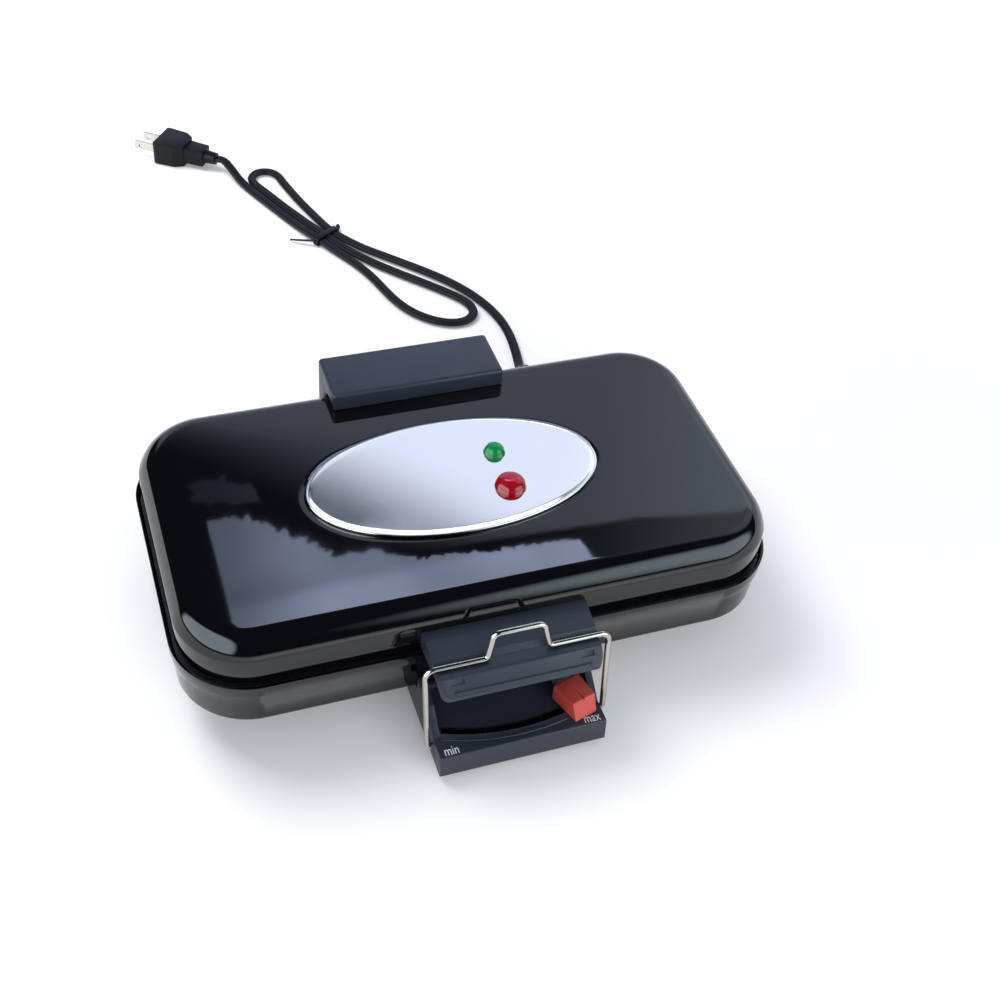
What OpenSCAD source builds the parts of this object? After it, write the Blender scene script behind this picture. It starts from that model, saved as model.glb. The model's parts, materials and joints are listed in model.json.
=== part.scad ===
// Electric krumkake iron: a two-disc waffle-cone baker with a hinged lid.
// +X is to the right seen from the front, -Y is the front with the handles, +Z is up.
// The origin is on the table, under the middle of the box round the iron without its cord.

/* [Lid] */
// Width of the lid at its rim
lid_w = 300; // [280:1:330]
// Depth of the lid at its rim
lid_d = 164; // [158:1:180]
// Corner radius of the lid seen from above
lid_corner_r = 35; // [30:1:42]
// Height of the upright skirt of the lid
skirt_h = 14; // [13:0.5:18]
// Radius that rounds the top edge of the lid
shoulder_r = 11.5; // [9:0.5:12.5]
// Thickness of the lid's sheet steel
lid_t = 1; // [0.8:0.1:1.2]

/* [Badge and lamps] */
// Width of the oval badge plate
badge_w = 152; // [140:1:160]
// Depth of the oval badge plate
badge_d = 80; // [76:1:90]
// Thickness of the badge's sheet
badge_t = 0.8; // [0.6:0.1:1]
// Height of the badge's face over the lid
badge_rise = 1.4; // [1.3:0.1:2]
// Width of the raised border of the badge
badge_border_w = 2.4; // [1.6:0.2:3]
// Depth of the seat pressed into the lid for the badge
badge_seat = 0.8; // [0.5:0.1:1]
// Diameter of the red lens at its flange
red_d = 16; // [14:0.5:18]
// Diameter of the green lens at its flange
green_d = 11.4; // [10:0.2:12]
// Distance of both lenses from the middle plane
lens_x = 24.6; // [20:0.2:30]
// Depth position of the green lens
green_y = 10.5; // [8:0.5:14]
// Depth position of the red lens
red_y = -15; // [-18:0.5:-12]

/* [Base] */
// Height of the feet, from the table to the underside of the base
foot_h = 21; // [16:0.5:26]
// Height of the base from its underside to its rim
base_h = 28; // [27:0.5:32]
// How far the base's rim band stands out beyond the lid
band_out = 3; // [2:0.5:4]
// Height of the rim band
band_h = 6; // [4:0.5:8]
// Step from the rim band in to the wall below it
band_step = 0.8; // [0.4:0.1:1.2]
// How far the wall draws in from the band to the underside
wall_draft = 1.2; // [0.6:0.2:2]
// Radius of the edge between wall and underside
base_edge_r = 4; // [3:0.5:5]
// Thickness of the base's sheet steel
base_t = 1.2; // [1:0.1:1.4]
// Gap between the rims of base and lid
rim_gap = 1; // [0.6:0.1:1.5]
// How far the feet stand in from the sides of the lid
foot_in_x = 40; // [32:1:54]
// How far the feet stand in from the front and the back of the lid
foot_in_y = 34; // [30:1:38]
// Diameter of a foot on the table
foot_d = 23; // [20:0.5:26]

/* [Baking plates] */
// Diameter of one baking disc
disc_d = 127; // [118:1:130]
// Distance between the middles of the two discs
disc_pitch = 132; // [130:1:136]
// Height of the discs over their plate
disc_h = 3; // [2:0.5:4]
// Thickness of the flange round a plate
flange_t = 2; // [1.5:0.5:3]
// Thickness of a plate's thick middle below its flange
web_t = 3; // [2:0.5:4]
// Gap between the closed discs
batter_gap = 1; // [0.6:0.1:1.5]
// Depth of the pattern cut into the discs
groove_depth = 0.7; // [0.4:0.1:1]
// Width of the lines of the pattern
groove_w = 1.6; // [1.2:0.1:2]
// Place of the plate posts, as a share of the badge's width
post_share_x = 0.355; // [0.33:0.005:0.36]
// Place of the plate posts, as a share of the badge's depth
post_share_y = 0.25; // [0.2:0.01:0.26]
// Diameter of a plate post
post_d = 12; // [11:0.5:13]

/* [Heating elements] */
// Diameter of the sheathed heating tube
tube_d = 6.5; // [6:0.1:8]
// Radius of the half turns of the heating tube
element_r = 42; // [38:0.5:46]
// Distance of the tube's two ends from the middle plane
element_end_x = 16; // [12:1:22]
// Thickness of the reflector sheets
reflector_t = 0.8; // [0.5:0.1:1]
// Height of a reflector's turned rim
reflector_rim = 5; // [3:0.5:5.5]

/* [Hinge] */
// Width of the hinge block and its bracket
hinge_w = 94; // [84:1:104]
// Diameter of the hinge pin
hinge_pin_d = 5; // [4:0.5:6]
// Radius of the knuckles round the hinge pin
knuckle_r = 6.5; // [5.5:0.25:7]
// Distance of the hinge axis behind the base's rim band
hinge_back = 8; // [7.5:0.25:10]
// Width of one ear of the lower bracket
ear_w = 9; // [7:0.5:11]
// Height of the hinge block over the lid
block_rise = 9.8; // [8:0.2:12]
// Length of the hinge block's top in depth
block_d = 32.8; // [28:0.4:36]

/* [Handles] */
// Width of the upper handle where it leaves the lid
upper_handle_w = 82; // [74:1:84]
// Width of the upper handle at its lip
upper_lip_w = 79; // [74:1:80]
// Reach of the upper handle in front of the lid
upper_reach = 33; // [32.5:0.1:33.5]
// Height of the upper handle's sloping front, from its ridge to the underside of its lip
lip_drop = 9.6; // [8.6:0.2:10.6]
// Width of the lower handle
lower_handle_w = 84; // [80:1:86]
// Reach of the lower handle in front of the lid
lower_reach = 42.5; // [41:0.5:45]
// Height of the lower handle's front bar over the table
bar_bottom = 3.5; // [2.5:0.5:5]
// Height of the lower handle's front top over the table
bar_top = 17; // [16:0.5:17.5]
// Wall thickness of the moulded handles
handle_t = 2.5; // [2:0.1:3]

/* [Latch] */
// Diameter of the latch wire
wire_d = 3; // [2.5:0.1:3.2]
// Gap between a latch leg and the side of the lower handle
latch_gap = 1.3; // [1.1:0.1:2.5]
// Distance of the latch's bar from its pivot
latch_r = 47; // [46.8:0.1:47.5]
// Height of the thumb loop over the latch's bar
loop_h = 13.8; // [10:0.2:16]
// Half width of the thumb loop at its foot
loop_foot = 15.2; // [13:0.2:18]
// Half width of the thumb loop at its top
loop_top = 12.2; // [9:0.2:12.6]
// Distance of the latch pivot in front of the lid
latch_reach = 29.4; // [29:0.1:30]
// Height of the latch pivot over the table
latch_z = 12.5; // [12:0.1:13]
// Lean of the closed latch towards the lid
latch_lean = 10.7; // [10:0.1:11.2]

/* [Heat control] */
// Distance of the thermostat shaft in front of the middle
shaft_y = 8; // [6:0.5:10]
// Gap between the knob at its end and the side rail of the lower handle
knob_gap = 1.4; // [1.3:0.1:5]
// Radius of the arc slot in the lower handle
slot_r = 105.2; // [104:0.2:106]
// Width of the arc slot
slot_w = 5.2; // [4.4:0.2:5.8]
// Diameter of the thermostat shaft
shaft_d = 6; // [5:0.1:6.4]
// Width of the knob at its back
knob_w = 14.8; // [12:0.2:16]
// Width of the knob at its front
knob_front_w = 12.4; // [10:0.2:14]
// Height of the knob
knob_h = 10; // [8:0.2:12]

/* [Cord] */
// Width of the flat cord
cord_w = 6; // [5:0.2:6.6]
// Thickness of the flat cord
cord_t = 4; // [3:0.2:4.4]
// Distance of the cord's exit from the middle plane
cord_exit_x = 86; // [80:1:92]
// Height of the cord's exit over the table
cord_exit_z = 31; // [31:0.5:33]
// Length of the strain relief outside the base
relief_l = 28; // [22:1:34]

/* [Fits] */
// Radial clearance of a pin or screw in its hole
fit = 0.05; // [0.03:0.01:0.1]
// Gap between moving parts
clearance = 0.3; // [0.2:0.05:0.5]
// Diameter of the screws' shanks
screw_d = 4; // [3.5:0.1:4.2]
// Diameter of the screws' heads
screw_head_d = 7.4; // [6.5:0.1:7.6]
// Height of the screws' heads
screw_head_h = 2.2; // [1.8:0.1:2.4]
// How far a screw's end stands out of the sheet that it holds
screw_end = 2; // [1:0.5:3]

/* [Hidden] */
$fn = 64;
tiny = 0.01;
// How far a cutter passes the face it cuts, and a length that passes the whole iron's height
cut = 1;
through = 60;

// Heights over the table
rim_z = foot_h + base_h;
lid_z = rim_z + rim_gap;
lid_top = lid_z + skirt_h + shoulder_r;
floor_z = foot_h + base_t;
mate_z = rim_z + rim_gap / 2;
badge_z = lid_top + badge_rise;
seat_z = lid_top - badge_seat;

// Plan sizes of the base
band_w = lid_w + 2 * band_out;
band_d = lid_d + 2 * band_out;
band_r = lid_corner_r + band_out;
wall_top = band_h + band_step;

// Main places in depth
lid_front = -lid_d / 2;
lid_back = lid_d / 2;
hinge_y = band_d / 2 + hinge_back;
hinge_z = lid_z;
handle_front = lid_front - lower_reach;
latch_y = lid_front - latch_reach;
box_back = hinge_y + knuckle_r;
origin_shift = [0, -(handle_front + box_back) / 2, 0];

// Places that follow the lid, the badge and the lower handle
foot_x = lid_w / 2 - foot_in_x;
foot_y = lid_d / 2 - foot_in_y;
post_x = badge_w * post_share_x;
post_y = badge_d * post_share_y;
latch_x = lower_handle_w / 2 + wire_d / 2 + latch_gap;
side_wall = handle_t + 1;
control_turn = round(10 * asin((lower_handle_w / 2 - side_wall - knob_w / 2 - knob_gap) / slot_r)) / 10;

// Colours as the photograph shows them
enamel = "#101216";
plastic = "#3a4152";
steel = "#c9ccd1";
cast = "#6d7076";
black_plastic = "#17191d";
ceramic = "#e4e0d6";
brass = "#b9974a";

function unit(v) = v / norm(v);
function flat(p) = [p[0], p[1]];
function turned(v, a) = [v[0] * cos(a) - v[1] * sin(a), v[0] * sin(a) + v[1] * cos(a)];

// The points that round corner b, with radius r, between its neighbours a and c
function corner_points(a, b, c, r, n) =
    let (u = unit(a - b), v = unit(c - b), half = acos(u * v) / 2)
    let (middle = b + unit(u + v) * r / sin(half), start = b + u * r / tan(half) - middle)
    let (side = sign(cross(start, b + v * r / tan(half) - middle)))
    [for (i = [0:n]) middle + turned(start, side * (180 - 2 * half) * i / n)];

// An outline whose points are [x, y, corner radius]
function rounded(points, n = 6) =
    let (m = len(points))
    [for (i = [0:m - 1])
        let (p = points[i], a = flat(points[(i + m - 1) % m]), c = flat(points[(i + 1) % m]))
        each (p[2] > 0 ? corner_points(a, flat(p), c, p[2], n) : [flat(p)])];

function ellipse_points(w, d, n = 96) =
    [for (i = [0:n - 1]) let (a = 360 * i / n) [w / 2 * cos(a), d / 2 * sin(a)]];

module placed() { translate(origin_shift) children(); }

module rounded_rect(w, d, r) {
    square([w - 2 * r, d], center = true);
    square([w, d - 2 * r], center = true);
    for (x = [-1, 1], y = [-1, 1]) translate([x * (w / 2 - r), y * (d / 2 - r)]) circle(r);
}

// A side outline in Y and Z, extruded to a width across X
module across(width) {
    rotate([90, 0, 90]) linear_extrude(width, center = true) children();
}

// A solid whose upright section, the child, runs round a rounded rectangle.
// The section's x counts outwards from the middle of a corner, and low is where it starts.
module section_round(w, d, r, h, low = 0) {
    run_x = w - 2 * r;
    run_y = d - 2 * r;
    for (x = [-1, 1], y = [-1, 1])
        translate([x * run_x / 2, y * run_y / 2]) rotate_extrude($fn = 96) children();
    for (side = [0, 180]) rotate(side) {
        translate([-run_x / 2, run_y / 2]) rotate([90, 0, 90]) linear_extrude(run_x) children();
        translate([run_x / 2, run_y / 2]) rotate([90, 0, 0]) linear_extrude(run_y) children();
    }
    translate([-run_x / 2, -run_y / 2, low]) cube([run_x, run_y, h - low]);
}

// The children on the left and on the right, at a distance from the middle plane
module both_sides(x) {
    for (side = [-1, 1]) translate([side * x, 0]) children();
}

// What points along +Z is turned to point right, to the back or to the front
module rightwards() { rotate([0, 90, 0]) children(); }

module backwards() { rotate([-90, 0, 0]) children(); }

module forwards() { rotate([90, 0, 0]) children(); }

module screw_hole(h, d = screw_d) { cylinder(r = d / 2 + fit, h = h); }

module oval(w, d, h) { linear_extrude(h) polygon(ellipse_points(w, d)); }

// A screw along +Z: its head's underside is at the origin and the head is below
module screw(length, d = screw_d, head_d = screw_head_d, head_h = screw_head_h) {
    slot_l = head_d / 1.5;
    slot_depth = 1 - tiny;
    cylinder(d = d, h = length);
    difference() {
        translate([0, 0, -head_h]) cylinder(d = head_d, h = head_h);
        for (a = [0, 90]) rotate(a)
            translate([-slot_l / 2, -0.5, slot_depth - cut - head_h]) cube([slot_l, 1, cut]);
    }
}

module at_posts() {
    for (x = [-1, 1], y = [-1, 1]) translate([x * post_x, y * post_y]) children();
}

// Base

module base_section(inset) {
    r = band_r - inset;
    wall_r = r - band_step;
    edge_r = base_edge_r - inset;
    foot_r = wall_r - wall_draft;
    bend = [foot_r - edge_r, inset + edge_r];
    polygon([[0, inset], [bend[0], inset], bend, [foot_r, bend[1]], [wall_r, base_h - wall_top],
        [r, base_h - band_h], [r, base_h], [0, base_h]]);
    translate(bend) intersection() {
        circle(edge_r);
        translate([0, -edge_r]) square(edge_r);
    }
}

// Half depth of the base's outside at a height over the table
function wall_y(z) = band_d / 2 - band_step
    - wall_draft * (1 - (z - foot_h - base_edge_r) / (base_h - wall_top - base_edge_r));

handle_screw_x = 28;
handle_screw_y = -(band_d / 2 - 15);
bracket_screw_x = 30;
bracket_screw_z = foot_h + 14;
vent_l = 26;
vent_w = 3;
vent_pitch = 8;
vent_count = 5;
vent_x = 78;
relief_neck_d = 10;
lever_slot_half = (band_d / 2) * tan(control_turn) + 7;
lever_slot_d = 6;
lever_gap = 0.6;
lever_z = floor_z + 0.9;
lever_t = 1.5;

module at_feet() {
    for (x = [-1, 1], y = [-1, 1]) translate([x * foot_x, y * foot_y]) children();
}

module at_handle_screws() { both_sides(handle_screw_x) translate([0, handle_screw_y]) children(); }

module at_bracket_screws(y) {
    both_sides(bracket_screw_x) translate([0, y, bracket_screw_z]) backwards() children();
}

module vents() {
    for (i = [0:vent_count - 1]) translate([0, (i - (vent_count - 1) / 2) * vent_pitch])
        cube([vent_l, vent_w, 2 * (base_t + cut)], center = true);
}

module base_shell() {
    color(enamel) placed() difference() {
        translate([0, 0, foot_h]) difference() {
            section_round(band_w, band_d, band_r, base_h) base_section(0);
            section_round(band_w, band_d, band_r, base_h + cut, base_t) {
                base_section(base_t);
                translate([0, base_h - cut]) square([band_r - base_t, 2 * cut]);
            }
        }
        translate([0, 0, foot_h - cut]) {
            at_posts() screw_hole(base_t + 2 * cut);
            at_feet() screw_hole(base_t + 2 * cut);
            at_handle_screws() screw_hole(base_t + 2 * cut);
            both_sides(vent_x) vents();
        }
        at_bracket_screws(0) screw_hole(band_d);
        translate([-lever_slot_half, -band_d / 2 - cut, lever_z - lever_gap])
            cube([2 * lever_slot_half, lever_slot_d, lever_t + 2 * lever_gap]);
        translate([cord_exit_x, 0, cord_exit_z]) backwards() cylinder(d = relief_neck_d, h = band_d);
    }
}

foot_recess_d = 10;
foot_web = 6;
foot_taper = 3;

module foot(x, y) {
    color(black_plastic) placed() translate([x * foot_x, y * foot_y]) difference() {
        union() {
            cylinder(d1 = foot_d - 1, d2 = foot_d, h = 1);
            translate([0, 0, 1]) cylinder(d1 = foot_d, d2 = foot_d - foot_taper, h = foot_h - 1);
        }
        translate([0, 0, -cut]) cylinder(d = foot_recess_d, h = foot_h - foot_web + cut);
        screw_hole(foot_h + cut);
    }
}

module foot_screws() {
    color(steel) placed() at_feet() translate([0, 0, foot_h - foot_web])
        screw(foot_web + base_t + screw_end);
}

// Baking plates, heating elements and reflectors. Each is modelled for the base, discs up,
// and turned over for the lid.

plate_slack = 1;
lower_flange_w = band_w - 2 * (base_t + plate_slack);
lower_flange_d = band_d - 2 * (base_t + plate_slack);
upper_slack = 3;
upper_flange_w = lid_w - 2 * (lid_t + upper_slack);
upper_flange_d = lid_d - 2 * (lid_t + upper_slack);
web_inset = 6;
shoulder_drop = 10;
lower_face = mate_z - batter_gap / 2;
upper_face = mate_z + batter_gap / 2;
plate_h = disc_h + flange_t + web_t;
post_neck_d = 8;
post_hole_d = post_neck_d + 0.4;
post_thread_l = 8;
seat_gap = 0.2;
tube_gap = 0.1;

// Cutter for one disc's pattern: rings, spokes and a border of scallops
module disc_pattern() {
    ring_r = [disc_d * 0.13, disc_d * 0.3, disc_d * 0.455];
    spokes = 12;
    petal_r = disc_d * 0.077;
    line_h = 2 * groove_depth;
    for (r = ring_r) difference() {
        cylinder(r = r + groove_w / 2, h = line_h, center = true);
        cylinder(r = r - groove_w / 2, h = line_h + cut, center = true);
    }
    for (i = [0:spokes - 1]) rotate(i * 360 / spokes) {
        translate([(ring_r[0] + ring_r[1]) / 2, 0])
            cube([ring_r[1] - ring_r[0], groove_w, line_h], center = true);
        rotate(180 / spokes) translate([(ring_r[1] + ring_r[2]) / 2, 0]) difference() {
            cylinder(r = petal_r, h = line_h, center = true);
            cylinder(r = petal_r - groove_w, h = line_h + cut, center = true);
        }
    }
}

// Clips hold the tube to the plate. Each has a foot beyond the tube, with a screw.
clip_w = 8;
clip_t = 0.8;
clip_gap = 0.1;
clip_foot_l = 8;
clip_screw_d = 3;
small_head_d = 5.6;
small_head_h = 1.6;
clip_front_x = 34;
clip_back_x = 46;
clip_r = tube_d / 2 + clip_gap;
clip_top = tube_d / 2 + tube_gap / 2;
clip_screw_y = clip_r + clip_t + clip_foot_l / 2;

// The children at the four clips, on the tube's axis with +Y away from the iron's middle
module at_clips() {
    both_sides(clip_back_x) translate([0, element_r]) children();
    both_sides(clip_front_x) translate([0, -element_r]) rotate(180) children();
}

module element_clip() {
    difference() {
        across(clip_w) difference() {
            union() {
                circle(clip_r + clip_t);
                translate([-clip_r - clip_t, 0]) square([2 * (clip_r + clip_t), clip_top]);
                translate([0, clip_top - clip_t]) square([clip_r + clip_t + clip_foot_l, clip_t]);
            }
            circle(clip_r);
            translate([-clip_r, 0]) square([2 * clip_r, 2 * clip_top]);
        }
        translate([0, clip_screw_y, 0]) screw_hole(2 * clip_top, clip_screw_d);
    }
}

module clip_screw() {
    translate([0, clip_screw_y, clip_top - clip_t])
        screw(clip_t + web_t, clip_screw_d, small_head_d, small_head_h);
}

// Plate with its face at z = 0, reaching down. drop is the length of the posts below the plate.
module grid_plate(w, d, r, drop) {
    difference() {
        union() {
            both_sides(disc_pitch / 2) translate([0, 0, -disc_h])
                cylinder(d = disc_d, h = disc_h, $fn = 128);
            translate([0, 0, -disc_h - flange_t]) linear_extrude(flange_t) rounded_rect(w, d, r);
            translate([0, 0, -plate_h]) linear_extrude(web_t)
                rounded_rect(w - 2 * web_inset, d - 2 * web_inset, r - web_inset);
            at_posts() translate([0, 0, -plate_h - shoulder_drop]) cylinder(d = post_d, h = shoulder_drop);
            at_posts() translate([0, 0, -plate_h - drop]) cylinder(d = post_neck_d, h = drop);
        }
        both_sides(disc_pitch / 2) disc_pattern();
        at_posts() translate([0, 0, -plate_h - drop - cut]) screw_hole(post_thread_l + cut);
        at_clips() translate([0, clip_screw_y, -plate_h - cut]) screw_hole(web_t + cut, clip_screw_d);
    }
}

// One tube bent to a long oval with its ends facing each other at the back
module heating_element() {
    half_run = disc_pitch / 2;
    pin_l = 8;
    pin_d = 3;
    for (x = [-1, 1]) {
        translate([x * half_run, 0]) rotate(-90 * x) rotate_extrude(angle = 180)
            translate([element_r, 0]) circle(d = tube_d);
        translate([x * element_end_x, element_r]) rotate([0, x * 90, 0]) {
            cylinder(d = tube_d, h = half_run - element_end_x);
            translate([0, 0, -pin_l]) cylinder(d = pin_d, h = pin_l + cut);
        }
    }
    translate([-half_run, -element_r]) rightwards() cylinder(d = tube_d, h = disc_pitch);
}

// Shallow tray that throws the heat back, floor at z = 0, rim up
module reflector(w, d, r) {
    in = reflector_t;
    difference() {
        linear_extrude(reflector_rim) rounded_rect(w, d, r);
        translate([0, 0, in]) linear_extrude(reflector_rim) rounded_rect(w - 2 * in, d - 2 * in, r - in);
        at_posts() translate([0, 0, -cut]) cylinder(d = post_hole_d, h = in + 2 * cut);
    }
}

// The stack under the lower plate
lower_plate_z = lower_face - plate_h;
lower_shoulder_z = lower_plate_z - shoulder_drop;
lower_reflector_z = lower_shoulder_z - seat_gap - reflector_t;
lower_element_z = lower_plate_z - tube_d / 2 - tube_gap;
lower_post_l = lower_plate_z - floor_z - seat_gap;
reflector_w = lid_w - 24;
reflector_d = lid_d - 28;
reflector_r = lid_corner_r - 11;

module lower_grid_plate() {
    color(cast) placed() translate([0, 0, lower_face])
        grid_plate(lower_flange_w, lower_flange_d, band_r - base_t - plate_slack, lower_post_l);
}

module lower_plate_spacers() {
    color(steel) placed() at_posts() translate([0, 0, floor_z]) difference() {
        cylinder(d = post_d, h = lower_reflector_z - floor_z);
        translate([0, 0, -cut]) cylinder(d = post_hole_d, h = lower_reflector_z);
    }
}

module lower_plate_screws() {
    color(steel) placed() at_posts() translate([0, 0, foot_h]) screw(post_thread_l);
}

module lower_heating_element() {
    color(steel) placed() translate([0, 0, lower_element_z]) heating_element();
}

module lower_element_clips() {
    color(steel) placed() translate([0, 0, lower_element_z]) at_clips() element_clip();
}

module lower_clip_screws() {
    color(steel) placed() translate([0, 0, lower_element_z]) at_clips() clip_screw();
}

bushing_d = 9;
bushing_l = 3.6;
thermostat_w = 28;
thermostat_d = 20;
thermostat_h = lower_plate_z - lower_reflector_z - reflector_t - 1.6;
sensor_d = 11;
sensor_h = 1.5;
tab_x = 8;
tab_w = 6;
tab_l = 9;
shaft_top = lower_plate_z - 4;

module lower_reflector() {
    color(steel) placed() translate([0, 0, lower_reflector_z]) difference() {
        reflector(reflector_w, reflector_d, reflector_r);
        translate([0, -shaft_y, -cut]) cylinder(d = bushing_d + 0.4, h = reflector_t + 2 * cut);
    }
}

module thermostat() {
    seat = lower_reflector_z + reflector_t;
    color(ceramic) placed() translate([0, -shaft_y, seat]) difference() {
        union() {
            translate([-thermostat_w / 2, -thermostat_d / 2])
                cube([thermostat_w, thermostat_d, thermostat_h]);
            translate([0, 0, thermostat_h]) cylinder(d = sensor_d, h = sensor_h);
            translate([0, 0, -bushing_l]) cylinder(d = bushing_d, h = bushing_l);
            both_sides(tab_x) translate([-tab_w / 2, thermostat_d / 2, 3]) cube([tab_w, tab_l, 0.8]);
        }
        translate([0, 0, -bushing_l - cut]) screw_hole(shaft_top - seat + bushing_l + 1.5 * cut, shaft_d);
        both_sides(tab_x) translate([0, thermostat_d / 2 + tab_l - 3, 2]) cylinder(d = 1.6, h = 3);
    }
}

nut_d = 14;
nut_h = 2.6;

module thermostat_nut() {
    color(brass) placed() translate([0, -shaft_y, lower_reflector_z - nut_h]) difference() {
        cylinder(d = nut_d, h = nut_h, $fn = 6);
        translate([0, 0, -cut]) screw_hole(nut_h + 2 * cut, bushing_d);
    }
}

terminal_x = 62;
terminal_y = 56;
terminal_pitch = 10;

module terminal_block() {
    w = 34;
    d = 16;
    h = lower_reflector_z - floor_z - 0.6;
    wall = 1;
    color(ceramic) placed() translate([terminal_x, terminal_y, floor_z]) difference() {
        translate([-w / 2, -d / 2]) cube([w, d, h]);
        for (i = [-1, 0, 1]) translate([i * terminal_pitch, 0]) {
            translate([0, 0, h - 2.5]) cylinder(d = 5, h = 5);
            translate([0, 0, h / 2]) forwards() cylinder(d = 3, h = d + 2 * cut, center = true);
        }
        for (i = [-1, 1]) translate([i * terminal_pitch / 2, -d / 2 - cut, h - 1.5])
            cube([wall, d + 2 * cut, 4]);
    }
}

// Lower handle with the arc slot of the heat control

deck_z = bar_top - 1.5;
strip_w = 3.6;
strip_rise = 0.5;
strip_fall = 0.3;
strip_edge = 0.3;
deck_rise = 5.3;
deck_flat = 1;
deck_t = 2.5;
deck_foot_r = 60;
cover_screw_x = 14;
slot_margin = 4;
slot_lip = 0.4;
seam = 0.005;
tongue_drop = 7;
tongue_slope = 8;
tongue_y = -(band_d / 2 - 27);
rail_back = -(band_d / 2 + 14);
rail_front = handle_front + 13.5;
rail_top = foot_h + 9;
cavity_top = deck_z - deck_t;
boss_d = 10;
bore_d = 8;
screw_seat_z = bar_bottom + 9;
boss_z = bar_bottom + 4;
cover_t = 1.5;
cover_z = bar_bottom + 0.4;
cover_gap = 0.2;
cover_boss_d = 7;
cover_screw_y = -(band_d / 2 + 13);
cover_screw_l = 7;
rib_t = 2;
rib_x = [cover_screw_x, lower_handle_w / 2 - 7];
tab_low = cavity_top - 4;

module lower_handle_outline() {
    wall_foot = wall_y(foot_h + base_edge_r) + 0.2;
    polygon(rounded([[handle_front, bar_bottom, 1.5], [handle_front + 1.5, bar_top, 1],
        [rail_front, bar_top, 2], [rail_back, rail_top - 3.5, 3], [-wall_y(rail_top) - 0.2, rail_top, 0.6],
        [-wall_foot, foot_h, 0], [tongue_y, foot_h, 0], [tongue_y, foot_h - tongue_drop, 1],
        [tongue_y - tongue_slope, bar_bottom, 3]], 4));
}

// The hollow under the deck, open below, or with its roof and its ends moved out into the walls
module lower_handle_hollow(grow = 0) {
    front = handle_front + handle_t - grow;
    back = tongue_y - handle_t + grow;
    polygon([[front, bar_bottom - cut], [front + 1, cavity_top + grow],
        [-shaft_y - slot_r + 2, cavity_top + grow], [-band_d / 2 - 2, deck_z - 1.3 + grow],
        [back, deck_z + grow], [back, foot_h - tongue_drop - cut],
        [tongue_y - tongue_slope - cut + grow, bar_bottom - cut]]);
}

// Ribs in the hollow, rooted in its roof and its ends, cut away where the lever's tab sweeps
module lower_handle_ribs() {
    sweep = 3;
    root = 0.8;
    low = cover_z + cover_t + cover_gap;
    difference() {
        for (x = rib_x) both_sides(x) across(rib_t) intersection() {
            lower_handle_hollow(root);
            translate([handle_front, low]) square([-handle_front, deck_z]);
        }
        translate([0, -shaft_y, tab_low - cut]) difference() {
            cylinder(r = slot_r + sweep, h = through, $fn = 96);
            translate([0, 0, -cut]) cylinder(r = slot_r - sweep, h = through + 2 * cut, $fn = 96);
        }
    }
}

// The raised strip in front of the slot, in a half section about the thermostat shaft
module slot_strip() {
    low = bar_top - 1;
    inner = slot_r + slot_w / 2 + slot_lip;
    outer = inner + strip_w;
    polygon([[inner, low], [inner, bar_top + strip_rise], [inner + strip_edge, bar_top + strip_rise],
        [inner + 2 * strip_edge, bar_top + strip_fall], [outer - strip_edge, bar_top + strip_fall],
        [outer, bar_top], [outer, low]]);
}

// Keeps its children between the side rails of the lower handle
module between_rails() {
    pocket_w = lower_handle_w - 2 * side_wall;
    pocket_d = -wall_y(foot_h + base_edge_r) + 0.1;
    intersection() {
        translate([0, -shaft_y]) rotate_extrude($fn = 128) children();
        translate([-pocket_w / 2, 2 * handle_front]) cube([pocket_w, pocket_d - 2 * handle_front, through]);
    }
}

module lower_handle() {
    slot_in = slot_r - slot_w / 2;
    step_r = slot_r + slot_w / 2 + slot_lip;
    over_strip = bar_top + strip_rise + 0.1;
    slot_turn = control_turn + slot_margin;
    color(plastic) placed() difference() {
        union() {
            difference() {
                across(lower_handle_w) lower_handle_outline();
                across(lower_handle_w - 2 * handle_t) lower_handle_hollow();
            }
            lower_handle_ribs();
            at_handle_screws() translate([0, 0, boss_z]) cylinder(d = boss_d, h = foot_h - 1 - boss_z);
            at_cover_screws(cover_z + cover_t + seam)
                cylinder(d = cover_boss_d, h = deck_z - 1 - cover_z - cover_t);
            between_rails() slot_strip();
        }
        between_rails() polygon([[deck_foot_r, deck_z + deck_rise], [slot_in - deck_flat, deck_z],
            [step_r, deck_z], [step_r, over_strip], [step_r + strip_w, over_strip],
            [step_r + strip_w, through], [deck_foot_r, through]]);
        translate([0, -shaft_y, 0]) rotate(-90 - slot_turn) rotate_extrude(angle = 2 * slot_turn, $fn = 128)
            translate([slot_in, cut]) square([slot_w, 30]);
        at_handle_screws() {
            screw_hole(through);
            cylinder(d = bore_d, h = screw_seat_z);
        }
        at_cover_screws(0) screw_hole(cover_z + cover_screw_l + cut, clip_screw_d);
        both_sides(lower_handle_w / 2) translate([0, latch_y, latch_z]) rightwards()
            cylinder(r = wire_d / 2 + fit, h = 4 * handle_t, center = true);
    }
}

// The cover closes the hollow from below, with two bores for the handle's own screws
module lower_handle_cover() {
    front = handle_front + handle_t + cover_gap + 0.4;
    back = tongue_y - tongue_slope - cut - cover_gap;
    w = lower_handle_w - 2 * handle_t - 2 * cover_gap;
    color(plastic) placed() difference() {
        translate([0, (front + back) / 2, cover_z]) linear_extrude(cover_t)
            rounded_rect(w, back - front, 2);
        at_handle_screws() cylinder(d = bore_d + 1, h = through);
        at_cover_screws(0) screw_hole(through, clip_screw_d);
    }
}

module at_cover_screws(z) { both_sides(cover_screw_x) translate([0, cover_screw_y, z]) children(); }

module lower_cover_screws() {
    color(steel) placed() at_cover_screws(cover_z)
        screw(cover_screw_l, clip_screw_d, small_head_d, small_head_h);
}

module lower_handle_screws() {
    color(steel) placed() at_handle_screws() translate([0, 0, screw_seat_z])
        screw(foot_h + base_t + screw_end - screw_seat_z);
}

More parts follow.
